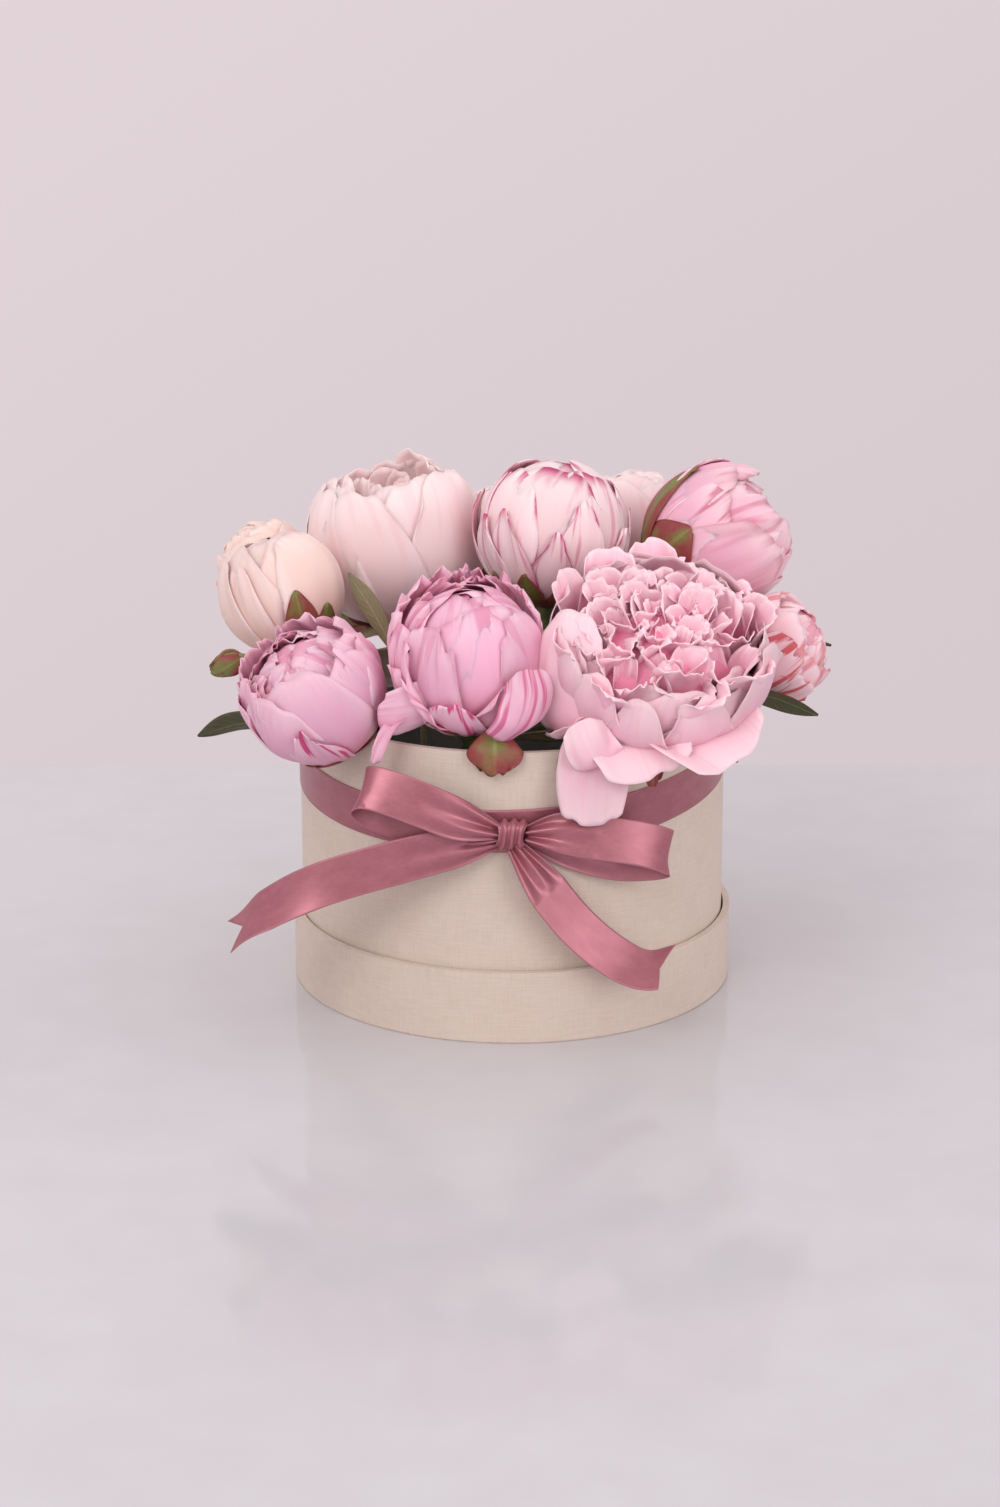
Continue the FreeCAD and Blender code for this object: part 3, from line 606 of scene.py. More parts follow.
def openFlower(heap, flower, rand):
    radius, petals, frontTurn = flower["size"], [], 270.0
    for turn, part, wideAt, tall, wide, frill in ringPetals(flower, rand, twist=190.0, spread=7):
        rise = tall * (1 - 0.07 * math.cos(math.radians(turn - frontTurn)) + rand.normal(0, 0.06))
        width = wide * part * wideAt * radius * rand.uniform(0.9, 1.1)
        petals.append((turn, wideAt, rise, width, frill, rand.uniform(-2.5, 2.0)))
    for turn, wideAt, rise, width, frill, flare in petals + flower["petals"]:
        reach, start = wideAt * radius, 1.0 + 30 * (1 - wideAt)
        line = smoothLine([(footRadius, start), (0.62 * reach, 0.12 * radius + start), (0.95 * reach, 0.42 * radius),
                           (reach, 0.7 * rise * radius), (0.9 * reach, rise * radius)], 40)
        # the outer petals are painted darker, as painted shade
        petal(heap, line, width, reach * 0.85, turn, dict(openPetal, ruffle=frill, flare=flare), rand, paintedShade=0.7)
    # the ruffled middle: swirls of short petals, side by side
    goldenAngle = 137.5
    for away, turn, size, count in flower["swirls"]:
        hub = polar(away * radius, turn, 0)
        for i in range(count):
            share = i / count
            out = size * (1 - share) ** 0.7 + 1.5
            look = dict(heartPetal, flare=rand.uniform(1.0, 4.5))
            top = (1.1 - 0.14 * away ** 2 - 0.06 * share + rand.normal(0, 0.045)) * radius
            line = smoothLine([(0.6 * out, 0.45 * radius), (0.9 * out, 0.7 * radius), (out, 0.86 * radius),
                               (out * 1.18 + 1.0, top)], 30)
            width = rand.uniform(24, 36) * (1 - 0.5 * share)
            swing = turn + i * goldenAngle + rand.normal(0, 20)
            # the middle's petals are painted lighter, as painted light in the hollow
            petal(heap, line, width, max(5.0, 0.85 * out), swing, look, rand, hub, paintedShade=-0.7)
    innerBall(heap, radius * 0.44, middle=radius * 0.5, wide=1.65)


# petals in each ring: how many, depth of the ring, angle or height of the tips, overlap, ruffle
looseWhorls = [(4, 0, 112, 1.4, 1), (4, 1.6, 130, 1.35, 1.4), (4, 3.2, 148, 1.3, 1.8), (4, 4.8, 166, 1.25, 2),
               (3, 6.2, 180, 1.2, 2)]
budWhorls = [(3, 0, 156, 1.4, 0.5), (3, 1.4, 166, 1.4, 0.6), (3, 2.8, 174, 1.35, 0.7), (3, 4.2, 181, 1.2, 0.8)]

# the pink foot colour is the petals' own deeper base, made more saturated as painted shade for the gaps
pinkColours = dict(Foot=(232, 150, 178), Blade=(240, 188, 206), Rim=(246, 212, 221), Fleck=(206, 60, 122), Flecks=0,
                   Edging=0)
blushColours = dict(Foot=(247, 206, 206), Blade=(246, 216, 217), Rim=(248, 226, 226), Fleck=(226, 130, 150),
                    Flecks=0.1, Edging=0)

# a flower's own petals: turn, depth or reach, angle or height of the tip, width, ruffle, flare, streaks, bluntness
flowers = {
    "front_right": dict(
        form=openFlower, size=52.5, seat=(-38, -22.5, 11), lean=(38, -79), turnTo=(28, -79), neck=16, spin=20,
        slot="pink_petal",
        # its foot colour is deeper still, as painted shade in the heart
        colours=dict(pinkColours, Foot=(242, 130, 172)),
        # in these rings the second number is the reach
        whorls=[(4, 0.99, 0.86, 1.3, 1.6), (5, 0.93, 1.02, 1.25, 2.2), (6, 0.86, 1.06, 1.25, 2.6)],
        petals=[(203, 1, 1.08, 66, 1.6, -1), (236, 0.98, 0.98, 48, 1.6, -0.5), (262, 1, 0.9, 40, 1.4, 0.5),
            (292, 0.98, 0.94, 44, 1.6, 0.5), (338, 1, 1.12, 62, 2, 2.5), (165, 0.98, 1.05, 56, 1.8, 0)],
        # away from the middle, turn, size, petals
        swirls=[(0.62, 14, 13, 5), (0.62, 52, 13, 5), (0.64, 92, 14, 5), (0.62, 132, 13, 5), (0.58, 168, 13, 5),
            (0.63, 205, 14, 5), (0.66, 245, 14, 5), (0.66, 288, 14, 5), (0.64, 330, 14, 5), (0.06, 40, 16, 9),
            (0.32, 8, 15, 7), (0.36, 70, 16, 7), (0.34, 140, 15, 7), (0.34, 205, 15, 7), (0.32, 290, 15, 7)]),
    "front_centre": dict(
        size=34.5, seat=(250.5, -40, 6), lean=(26.5, 271), turnTo=(10, 271), neck=14, spin=52, slot="pink_petal",
        colours=dict(pinkColours, Blade=(238, 178, 203), Rim=(242, 198, 216), Flecks=0.45, Edging=0.35),
        whorls=[(3, 3, 164, 1.3, 0.7), (3, 4.5, 172, 1.3, 0.8), (3, 6, 180, 1.2, 1)],
        petals=[(286, 2.4, 156, 50, 0.9, -0.5, 0.2), (338, 1, 140, 42, 1.6, 1.2, 0.6),
            (236, 1.4, 134, 36, 2, 1.5, 0.6), (206, -0.5, 124, 34, 3.2, 3, 1), (176, 0, 136, 32, 3.6, 4.5, 1),
            (146, 0.5, 144, 32, 3.6, 5, 1), (116, 0.5, 148, 32, 3.6, 5.5, 1), (86, 0.5, 148, 32, 3.6, 5.5, 1),
            (56, 0.5, 144, 34, 3.2, 4.5, 0.8), (22, 0.5, 134, 38, 2.8, 3, 0.6), (190, 3, 152, 34, 3.2, 2.5, 1),
            (130, 3, 160, 34, 3.2, 3, 1), (70, 3, 158, 34, 3.2, 3, 1), (255, -1, 80, 30, 1, 2, 2.2),
            (216, -1.2, 96, 34, 2.4, 3.5, 1), (303, -1, 92, 38, 1.6, 2, 0.5)]),
    "front_left": dict(
        size=32, seat=(213.5, -10, 2), lean=(56, 238), turnTo=(34, 222), neck=13, spin=10, slot="pink_petal",
        colours=dict(pinkColours, Blade=(230, 174, 199), Rim=(239, 197, 213), Flecks=0.4),
        whorls=[(4, 2.6, 140, 1.3, 1.6), (5, 4.2, 152, 1.25, 2.4), (5, 5.8, 166, 1.2, 2.4), (3, 7, 180, 1.2, 2)],
        petals=[(214, 0, 132, 52, 1.2, 1, 0.2), (268, -0.4, 146, 56, 1.2, 0, 0.1), (318, 0, 132, 50, 1.2, 1, 0.2),
            (352, 0.4, 118, 46, 1, 2, 0.2), (50, 0, 112, 50, 1, 2, 0.3), (110, 0.5, 118, 48, 1, 2, 0.3),
            (165, 0, 122, 50, 1.6, 2.5, 0.3), (254, -0.8, 102, 26, 1.6, 1.5, 2.4, 0.4),
            (200, 1.4, 140, 40, 2.8, 3.5, 0.6), (335, 1.4, 138, 40, 2.8, 3.5, 0.6),
            (20, 1.4, 136, 40, 2.8, 4, 0.6), (75, 1.4, 136, 40, 2.8, 4.5, 0.6), (130, 1.4, 136, 40, 2.8, 4.5, 0.6)]),
    "left": dict(
        size=29, seat=(186, -0.5, 22), lean=(21.5, 146), neck=10, spin=-35, slot="cream_petal", whorls=budWhorls,
        colours=dict(Foot=(230, 188, 168), Blade=(238, 207, 200), Rim=(243, 221, 217), Fleck=(214, 110, 134),
            Flecks=0.12, Edging=0.22),
        petals=[(205, -0.3, 138, 34, 1, 1.2, 1), (236, -0.6, 126, 24, 0.8, 0.8, 1.6),
            (322, -0.6, 150, 46, 0.8, 0.4, 0.6)]),
    "left_back": dict(
        size=23, seat=(156, 16, 33), lean=(46, 160), neck=28, spin=0, slot="cream_petal", whorls=looseWhorls,
        colours=dict(Foot=(240, 184, 168), Blade=(241, 205, 196), Rim=(245, 222, 215), Fleck=(236, 150, 150),
            Flecks=0.1, Edging=0)),
    "top_left": dict(
        form=cupFlower, size=43, seat=(138, -28.5, 21), lean=(4.5, 180), neck=14, spin=-62, slot="blush_petal",
        colours=blushColours,
        whorls=[(6, 1.6, 1.64, 1.25, 1.4), (6, 4.5, 1.7, 1.25, 1.8), (6, 9, 1.7, 1.25, 2.2),
            (6, 15, 1.66, 1.3, 2.4), (6, 21, 1.62, 1.3, 2.4), (5, 27, 1.58, 1.3, 2.4), (4, 33, 1.54, 1.3, 2)],
        petals=[(222, 0, 1.66, 60, 1, 0.5), (266, -0.8, 1.72, 54, 0.9, 0.5), (318, 0, 1.78, 60, 1.2, 2.5),
            (15, 0, 1.64, 58, 1, 1.5), (75, 0, 1.68, 60, 1, 1.5), (130, 0, 1.6, 60, 1, 1.5),
            (180, 0.6, 1.64, 56, 1, 1)]),
    "top_centre": dict(
        size=36.5, seat=(44, -79, 38), lean=(10.5, 56), neck=14, spin=-70, slot="streaked_petal",
        colours=dict(Foot=(234, 190, 194), Blade=(243, 212, 215), Rim=(247, 224, 228), Fleck=(200, 52, 118),
            Flecks=0.4, Edging=0.95),
        whorls=[(4, 1.8, 146, 1.2, 1.2), (4, 3, 160, 1.25, 1.2), (3, 4.4, 172, 1.25, 1), (3, 5.4, 181, 1.2, 1)],
        petals=[(turn, 0, tip, width, 1.3, flare, 1.2, 0.38) for turn, tip, width, flare in (
            (238, 104, 25, 1.5), (268, 92, 22, 1), (296, 116, 27, 1.5), (330, 98, 25, 2), (8, 110, 26, 1),
            (45, 100, 26, 1.5), (88, 112, 27, 1), (130, 100, 26, 1.5), (170, 114, 27, 1), (206, 98, 25, 2))]),
    "top_right": dict(
        size=34.5, seat=(8.5, -26, 45), lean=(45.5, 25), turnTo=(62, 10), neck=16, spin=30, slot="pink_petal",
        colours=dict(pinkColours, Blade=(236, 178, 199), Fleck=(196, 56, 104), Flecks=0.45, Edging=0.45),
        whorls=[(3, 2.6, 150, 1.4, 2), (3, 4.2, 166, 1.3, 2.4), (3, 5.8, 180, 1.2, 2)],
        petals=[(230, 0, 112, 46, 1.4, 0.5, 1.4, 0.85), (196, 0.4, 130, 52, 1.6, 1, 0.8, 0.85),
            (288, -0.4, 126, 62, 1.6, 2, 0.5, 0.85), (334, 0.2, 140, 54, 2, 2, 0.6, 0.85),
            (15, 0, 130, 52, 1.4, 2, 0.4), (60, 0, 126, 50, 1.2, 2, 0.4), (110, 0, 126, 50, 1.2, 2, 0.4),
            (158, 0.2, 132, 52, 1.8, 2, 0.4), (258, 1.4, 148, 56, 2.2, 1.5, 1, 0.85),
            (180, 1.4, 154, 50, 2.6, 2.5, 0.6, 0.85), (308, 1.6, 156, 50, 2.6, 2.5, 0.8, 0.85)]),
    "right": dict(
        size=25, seat=(-7.5, 4, 13), lean=(59, -7), neck=19, spin=15, slot="streaked_petal",
        colours=dict(pinkColours, Blade=(238, 186, 194), Fleck=(214, 84, 92), Flecks=0.6),
        whorls=[(4, 0, 118, 1.35, 1), (4, 1.6, 132, 1.3, 1.5), (5, 3.2, 148, 1.2, 2), (4, 4.8, 170, 1.2, 2)],
        petals=[(268, -0.6, 116, 30, 1.4, 1, 2.2, 0.8), (306, -0.4, 106, 30, 1.4, 1.5, 2, 0.8)]),
}
# flowers at the back: size, seat, lean, neck, spin, slot, colours, rings
for name, *settings in (
        ("back_centre", 28, (92, -6, 27), (21, 98), 14, 5, "blush_petal", blushColours, looseWhorls),
        ("back_right", 30, (55, -3, 33), (24, 60), 14, 40, "blush_petal", blushColours, looseWhorls),
        ("rear_left", 24, (127, 8, 12), (61, 121), 19, 25, "pink_petal", pinkColours, looseWhorls),
        ("rear_right", 24, (37, 9.5, 10), (70.5, 44), 19, 60, "blush_petal", blushColours, budWhorls)):
    flowers[name] = dict(zip(("size", "seat", "lean", "neck", "spin", "slot", "colours", "whorls"), settings))
for flower in flowers.values():
    flower.setdefault("form", closedFlower)

# single petals that hang loose, in the box's frame: line, width, direction across, cup, streaks, painted shade
loosePetals = {
    "front_right": [
        # this hanging petal is painted darker, as painted shade under the flower
        ([(40, -88, 147), (37, -103, 141), (35, -110, 124), (35, -113.5, 107)], 33, (1, 0, 0.05), -60, 0.2, 1.3),
        ([(60, -64, 146), (77, -88, 147), (91, -104, 142), (101, -112, 137)], 56, (0.85, 0.45, 0.28), 60),
        ([(46, -66, 146), (52, -94, 146), (58, -109, 138), (62, -115, 129)], 50, (1, 0.1, 0.1), 50),
        ([(46, -66, 148), (34, -86, 147), (26, -97, 146), (21, -102, 149)], 30, (0.6, -0.5, 0.6), 30),
        ([(44, -82, 136), (29, -96, 143), (22.5, -98, 160), (22.5, -93, 181), (27, -84, 198)], 40, (0.9, -0.42, 0.1),
         26),
        ([(44, -103, 133), (39, -112, 137), (34, -115, 146), (30, -114, 156)], 25, (0.9, 0.35, 0.3), 18),
    ],
    "front_centre": [
        ([(-26, -84, 157), (-38, -92, 154), (-50, -95, 151), (-60, -94, 150)], 32, (0.2, -0.4, 0.9), 19, 0.4),
        ([(-46, -88, 153), (-54, -96, 147), (-59, -98, 139), (-62, -97.5, 131)], 8, (0.8, -0.5, 0.1), 8, 0.3),
        ([(-4, -103, 143), (5, -109, 152), (9, -109, 165), (7, -105, 177)], 30, (0.9, 0.35, 0.1), 13, 1.6),
    ],
}

highOf = {closedFlower: 1.0, cupFlower: 0.9, openFlower: 0.62}    # height of a flower's middle, as a share of its size


def ballOf(flower):  # middle and radius of the ball that a flower fills
    size = flower["size"]
    wide = 1.0 if flower["form"] is closedFlower else 0.95
    return seatPoint(*flower["seat"]) + facing(*flower["lean"]) * size * highOf[flower["form"]], size * wide


def standOf(flower):  # where the petals grow from, and which way the flower looks
    way = facing(*flower.get("turnTo", flower["lean"]))
    return ballOf(flower)[0] - way * flower["size"] * highOf[flower["form"]], way


balls = {name: ballOf(flower) for name, flower in flowers.items()}
pressing = dict(nearby=1.12, gap=0.4, soft=4.0)
rimRoom = dict(above=1.5, middle=97.0, outside=102.2, inside=95.6)


def spreadApart(points, name):  # neighbouring flowers press on each other along a plane between them
    here, size = balls[name]
    soft = pressing["soft"]
    for other, (there, otherSize) in balls.items():
        between = np.linalg.norm(there - here)
        if other == name or between > (size + otherSize) * pressing["nearby"]:
            continue
        way = (there - here) / between
        face = between * size / (size + otherSize) - pressing["gap"]
        reach = (points - here) @ way - face
        pressed = np.where(reach > -soft, -soft * np.exp(-np.clip(reach + soft, 0, None) / soft), reach)
        points = points + way * (pressed - reach)[:, None]
    return points


def clearRim(points):  # petals lie over the rim of the box, not through it
    reach = np.linalg.norm(points[:, :2], axis=1)
    over = reach > rimRoom["middle"]
    wanted = np.where(over, np.maximum(reach, rimRoom["outside"]), np.minimum(reach, rimRoom["inside"]))
    low = points[:, 2] < rimZ + rimRoom["above"]
    scale = np.where(low, wanted / np.maximum(reach, 1e-6), 1.0)
    return points * np.stack([scale, scale, np.ones_like(scale)], axis=1)


def makeFlowers():
    for index, (name, flower) in enumerate(flowers.items()):
        rand = np.random.default_rng(seeds["flower"] + index)
        own = Heap()
        flower["form"](own, flower, rand)
        seat, way = standOf(flower)
        own.reshape(lambda points: spreadApart(points @ frameAlong(way) + seat, name))
        for loose in loosePetals.get(name, []):
            freePetal(own, hangingPetal, rand, *loose)
        own.reshape(clearRim)
        obj = own.mesh("petals_" + name, petalThickness)
        finish = newFinish("petal " + name.replace("_", " "), petalTint, flower["colours"], bump=0.1, depth=0.3,
                           **petalShader)
        place(obj, finish, "insert", flower["slot"], "bloom_" + name)
        print("flower", name, len(obj.data.polygons))


makeFlowers()


# leaves, stems, sepals and the small side bud

greens = {
    "leaf": dict(Blade=(66, 74, 48), Rib=(110, 116, 78), Blush=(120, 70, 56), Blushing=0.15),
    "pale leaf": dict(Blade=(124, 118, 86), Rib=(160, 152, 118), Blush=(130, 84, 66), Blushing=0.15),
    "sepal": dict(Blade=(116, 120, 62), Rib=(146, 138, 82), Blush=(150, 44, 64), Blushing=0.85),
}
relief = {"leaf": 0.35, "pale leaf": 0.35, "sepal": 0.3}
for title, colours in greens.items():
    finishes[title] = newFinish(title, leafTint, colours, relief[title], depth=0.3, Specular_IOR_Level=0.4)

foam = dict(top=115.8, reach=74.2)
stalk = dict(radius=1.2, depth=30.0)      # under a leaf or the side bud


def intoFoam(point, depth):  # end of a stem that runs on from this point into the foam
    flat = np.array([point[0], point[1], 0.0])
    flat *= min(1.0, foam["reach"] / np.linalg.norm(flat))
    entry = np.array([flat[0], flat[1], foam["top"]])
    return entry + unit(entry - point) * depth


def tube(heap, points, radius, rows=40, sides=10):
    line, share = smoothLine(points, 120), np.linspace(0, 1, rows)
    ahead = heading(line, share)
    side = unit(np.cross(ahead, (0.31, 0.2, 0.93)))[:, None]
    up = np.cross(side, ahead[:, None])
    t = ring(sides)[None, :, None]
    grid = along(line, share)[:, None] + radius * (side * np.cos(t) + up * np.sin(t))
    heap.add(grid, closed=True, lengthwise=share[:, None], across=0.02, tone=0.5, streak=0.0)


lanceLeaf = dict(grid=(13, 30), foot=0.12, blunt=0.05, nick=0.0, round=0.0, ruffle=0.5, waves=1.2, swell=0.3)
leafShape = dict(cup=14.0, thickness=0.45, rise=0.6, overlap=0.12)
# width, sag, direction across, finish, then the tip, the foot of the blade and the stalk's elbows
# these points are given as azimuth, reach beyond the rim and height above it
leaves = {
    "left": (15.5, 7, (0.1, -0.6, 0.8), "leaf", [(189, 48.5, -15), (195, 6, -10), (199, -1.5, 5), (201, -13, 4)]),
    "centre": (10, 3, (0.9, -0.2, 0.4), "pale leaf", [(199, -20, 64), (215, -36, 26), (219, -46, 5)]),
    "right_upper": (14, 6, (0.1, -0.8, 0.5), "leaf", [(6, 52, 18), (9, 0.5, 20), (9, -12, 15)]),
    "right_lower": (13, 6, (0.3, -0.6, 0.7), "leaf", [(-17.5, 47, 1), (-21, 2, 10), (-17, -13, 7)]),
    "front_rim": (12, 2, (0.1, -0.7, 0.6), "pale leaf", [(290, -8, 5), (268, -22, 0), (266, -30, -5)]),
    "front_right": (12, 2.5, (0.5, 0.8, 0.1), "leaf", [(-27, 15.5, -19), (-27, 4.5, 7), (-23, -14, -0.5)]),
    "rear_left": (15, 5, (0.9, 0.3, 0.1), "leaf", [(112, 42, 2), (108, -1, 8), (107, -14, 5)]),
    "rear_right": (15, 5, (0.9, -0.3, 0.1), "leaf", [(76, 42, 0), (74, -1, 8), (74, -14, 5)]),
}


def makeLeaves():
    for index, (name, (width, sag, across, finish, points)) in enumerate(leaves.items()):
        rand = np.random.default_rng(seeds["leaf"] + index)
        tip, foot, *elbows = (seatPoint(*point) for point in points)
        middle = (tip + foot) / 2 + np.array([0, 0, sag * leafShape["rise"]])
        heap = Heap()
        freePetal(heap, lanceLeaf, rand, [foot, middle, tip], width, across, leafShape["cup"])
        start = foot + (middle - foot) * leafShape["overlap"]
        tube(heap, [start, foot] + elbows + [intoFoam(elbows[-1], stalk["depth"])], stalk["radius"])
        obj = heap.mesh("leaf_blade_" + name, leafShape["thickness"])
        place(obj, finishes[finish], "insert", "green_leaf", "leaf_" + name)


calyx = {   # the scales round each flower's foot: turn, angle of the tip, width
    "top_right": [(196, 104, 15), (240, 70, 30), (290, 84, 28), (20, 70, 18), (110, 70, 18)],
    "top_centre": [(250, 58, 13), (290, 64, 13), (325, 56, 13), (10, 60, 13), (90, 60, 13), (160, 60, 13),
                   (215, 62, 13)],
    "left": [(290, 92, 17), (316, 70, 14), (20, 40, 16), (100, 40, 16), (180, 40, 16), (240, 40, 16)],
}
plainCalyx = [(20, 46, 20), (92, 52, 22), (164, 46, 20), (236, 52, 22), (308, 48, 20)]
scaleLook = dict(grid=(11, 16), foot=0.6, blunt=0.3, nick=0.03, round=0.06, flare=1.0, tuck=0.3, ruffle=0.7,
                 waves=1.5, swell=0.4, thickness=0.45, off=0.9)
stemShape = dict(radius=3.0, depth=48.0, cupHeight=9.0, rows=60, sides=14, cupSides=24, cupWave=0.04,
                 cupRadii=[3.0, 3.6, 4.8, 5.8, 6.0, 2.0], cupLevels=[-9.0, -7.0, -4.5, -2.0, 0.5, 1.0])


def makeStems():
    for index, (name, flower) in enumerate(flowers.items()):
        rand = np.random.default_rng(seeds["stem"] + index)
        seat, way = standOf(flower)
        radius, tall = flower["size"], stemShape["cupHeight"]
        elbow = seatPoint(*flower["seat"]) - facing(*flower["lean"]) * (tall + flower["neck"])
        end = intoFoam(elbow, stemShape["depth"])
        stem = Heap()
        tube(stem, [seat - way, seat - way * tall, elbow, elbow * 0.7 + end * 0.3, elbow * 0.3 + end * 0.7, end],
             stemShape["radius"], stemShape["rows"], stemShape["sides"])
        t = ring(stemShape["cupSides"])[None, :]
        wide = np.array(stemShape["cupRadii"])[:, None] * (1 + stemShape["cupWave"] * np.sin(5 * t))
        high = np.array(stemShape["cupLevels"])[:, None] + 0 * t
        cup = np.stack([wide * np.cos(t), wide * np.sin(t), high], axis=-1)
        stem.add(cup @ frameAlong(way) + seat, closed=True, lengthwise=0.5, across=0.0, tone=0.5, streak=0.0)
        place(stem.mesh("stalk_" + name), finishes["flower stem"], "insert", "green_stem", "stem_" + name)
        scales = Heap()
        for turn, tip, width in calyx.get(name, plainCalyx):
            if flower["form"] is closedFlower:
                line = globeLine(radius + scaleLook["off"], middle=radius, first=6.0, last=tip + rand.normal(0, 3))
            else:
                line = smoothLine([(footRadius, -0.5), (0.36 * radius, 0.02 * radius - 1),
                                   (0.62 * radius, 0.14 * radius - 1)], 30)
            petal(scales, line, width, 0.9 * radius, turn, scaleLook, rand)
        scales.reshape(lambda points: clearRim(spreadApart(points @ frameAlong(way) + seat, name)))
        place(scales.mesh("calyx_" + name, scaleLook["thickness"]), finishes["sepal"], "insert", "green_leaf")


hangingSepal = dict(grid=(15, 16), foot=0.35, blunt=0.55, nick=0.12, round=0.12, ruffle=1.6, waves=2.4, swell=0.5,
                    cup=-22.0, thickness=0.5)
sepals = {   # red and green scales under the flowers: line, width, direction across
    "front_centre": [([(-8, -97, 146), (-8, -104, 141), (-8, -106, 134), (-8, -105, 127.5)], 27, (1, 0, 0))],
    "front_right": [([(26, -96, 142), (24, -104, 134), (22, -106, 124)], 9, (1, 0, 0)),
                    ([(60, -88, 142), (62, -100, 132), (62, -104, 122)], 12, (1, 0.3, 0))],
}


def makeSepals():
    for index, (name, group) in enumerate(sepals.items()):
        rand = np.random.default_rng(seeds["sepal"] + index)
        heap = Heap()
        for one in group:
            freePetal(heap, hangingSepal, rand, *one, hangingSepal["cup"])
        heap.reshape(clearRim)
        place(heap.mesh("sepals_" + name, hangingSepal["thickness"]), finishes["sepal"], "insert", "green_leaf")


sideBud = dict(foot=(130.0, 198.0, 28.0), tip=(140.0, 196.0, 22.0), elbow=(88.0, 196.0, 16.0), length=17.0, width=6.3,
               layers=(0.0, 0.7, 1.4), scales=3, thickness=0.4)
budScale = dict(smoothPetal, grid=(11, 14), ruffle=0.3, flare=0.2, tuck=0.3, swell=0.1, blunt=0.35)


def makeSideBud():  # a closed bud in its scales
    rand = np.random.default_rng(seeds["bud"])
    foot, tip, elbow = (polar(r, a, rimZ + h) for r, a, h in (sideBud["foot"], sideBud["tip"], sideBud["elbow"]))
    way = unit(tip - foot)
    size, tall = sideBud["width"], sideBud["length"]
    bud = Heap()
    for layer in sideBud["layers"]:
        line = smoothLine([(1.0, 0.2), (0.75 * size - layer, 0.15 * tall), (size - layer, 0.42 * tall),
                           (0.6 * size - layer * 0.6, 0.75 * tall), (0.5, tall * (1 - layer * 0.02))], 30)
        for i in range(sideBud["scales"]):
            petal(bud, line, 2.0 * size, size * 0.9, 360 / sideBud["scales"] * i + layer * 80, budScale, rand)
    bud.reshape(lambda points: points @ frameAlong(way, (0, 0, 1)) + foot)
    tube(bud, [foot + way, foot, elbow, intoFoam(elbow, stalk["depth"])], stalk["radius"])
    place(bud.mesh("side_bud_scales", sideBud["thickness"]), finishes["sepal"], "insert", "green_leaf", "side_bud")


makeStems()
makeLeaves()
makeSepals()
makeSideBud()
print("leaves and buds placed")


# table, light and camera

table = dict(half=4000.0, back=324.0, edge=12.0, grid=9,
             colours=dict(Light=(214, 210, 215), Dark=(209, 204, 209), Scale=3.0))
backdrop = dict(colour=(228, 214, 219), low=(214, 201, 205), light=(1.0, 0.985, 0.985, 1), strength=0.86, slope=-0.6)
lamps = {
    "key": dict(spot=(-1.0, -1.8, 1.6), aim=(0, 0, 0.12), size=1.2, power=14.5, colour=(1.0, 0.985, 0.97)),
    "fill": dict(spot=(1.3, -1.85, 0.8), aim=(0, 0, 0.12), size=1.2, power=10.5, sparesTable=True),
    "top": dict(spot=(0.1, 0.35, 1.8), aim=(0, 0, 0.1), size=1.6, power=1.5),
}
view = dict(pitch=17.0, distance=1.658, aim=(-0.0058, 0.0, 0.106), sensor=36.0, focalPixels=3500.0,
            picturePixels=1507.0, far=30.0)


def makeTable():
    half, back, count = table["half"], table["back"], table["grid"]
    xs, ys = np.linspace(-half, half, count), np.linspace(-half, back, count)
    heap = Heap()
    heap.add(np.stack([*np.meshgrid(xs, ys), np.zeros((count, count))], axis=-1))
    edge = np.zeros((2, count, 3))    # the far edge, turned down
    edge[..., 0], edge[..., 1], edge[1, :, 2] = xs, back, -table["edge"]
    heap.add(edge)
    obj = heap.mesh("table")
    finish = newFinish("pale table", grain, table["colours"], bump=0.0, depth=0.01, Roughness=0.09,
                       Specular_IOR_Level=0.5)
    obj.data.materials.append(finish)
    return obj


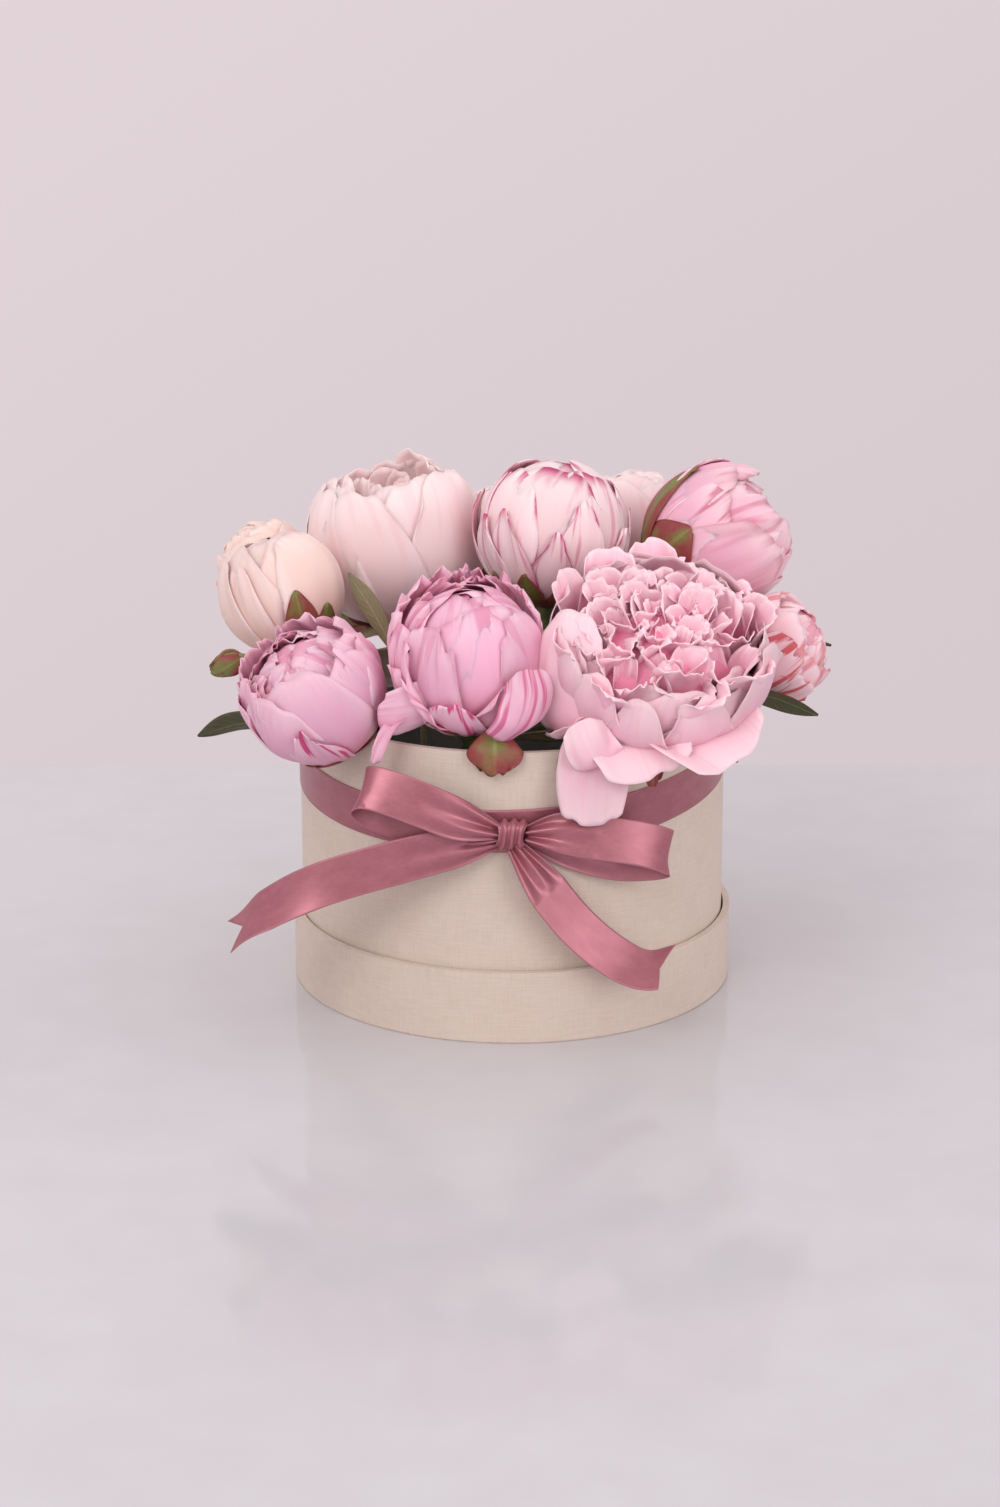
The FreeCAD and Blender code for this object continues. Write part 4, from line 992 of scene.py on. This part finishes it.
def makeWorld():  # the backdrop that is seen, and an even light that isn't
    world = bpy.data.worlds.new("studio")
    bpy.context.scene.world = world
    world.use_nodes = True
    world.node_tree.nodes.clear()
    wires = Wires(world.node_tree)
    x, y, z = wires.split(wires.node("TexCoord").outputs["Generated"])
    # the seen backdrop is painted darker towards the bottom and the right, as painted shade
    rise = wires.ramp(x * backdrop["slope"] + z, -0.45, 0.15)
    colour = wires.blend(rise, tint(*backdrop["low"]), tint(*backdrop["colour"]))
    seen = wires.node("Background", colour)
    light = wires.node("Background", backdrop["light"], backdrop["strength"])
    path = wires.node("LightPath").outputs
    mirrored = wires.calc("MAXIMUM", path["Is Glossy Ray"], path["Is Transmission Ray"])
    share = wires.calc("MAXIMUM", path["Is Camera Ray"], mirrored)
    mix = wires.node("MixShader", share, light.outputs[0], seen.outputs[0])
    wires.node("OutputWorld", mix.outputs[0])


def softLight(name, lamp, tableTop):
    light = bpy.data.lights.new(name, "AREA")
    light.shape, light.size, light.energy = "DISK", lamp["size"], lamp["power"]
    light.color = lamp.get("colour", (1, 1, 1))
    obj = bpy.data.objects.new(name, light)
    obj.location = lamp["spot"]
    way = unit(np.subtract(lamp["aim"], lamp["spot"]))
    obj.rotation_euler = (math.acos(-way[2]), 0, math.atan2(way[1], way[0]) - math.pi / 2)
    bpy.context.scene.collection.objects.link(obj)
    if lamp.get("sparesTable"):    # keeps the lamp's mirror image off the table
        group = bpy.data.collections.new(name + " spares")
        group.objects.link(tableTop)
        group.collection_objects[0].light_linking.link_state = "EXCLUDE"
        obj.light_linking.receiver_collection = group


def makeCamera():
    camera = bpy.data.cameras.new("camera")
    camera.lens = view["focalPixels"] * view["sensor"] / view["picturePixels"]
    camera.sensor_width, camera.clip_end = view["sensor"], view["far"]
    obj = bpy.data.objects.new("camera", camera)
    lean, distance, (x, y, z) = math.radians(view["pitch"]), view["distance"], view["aim"]
    obj.location = (x, y - distance * math.cos(lean), z + distance * math.sin(lean))
    obj.rotation_euler = (math.pi / 2 - lean, 0, 0)
    bpy.context.scene.collection.objects.link(obj)
    bpy.context.scene.camera = obj


tableTop = makeTable()
makeWorld()
for name, lamp in lamps.items():
    softLight(name, lamp, tableTop)
makeCamera()
bpy.context.scene.view_settings.view_transform = "Standard"
print("stage set")
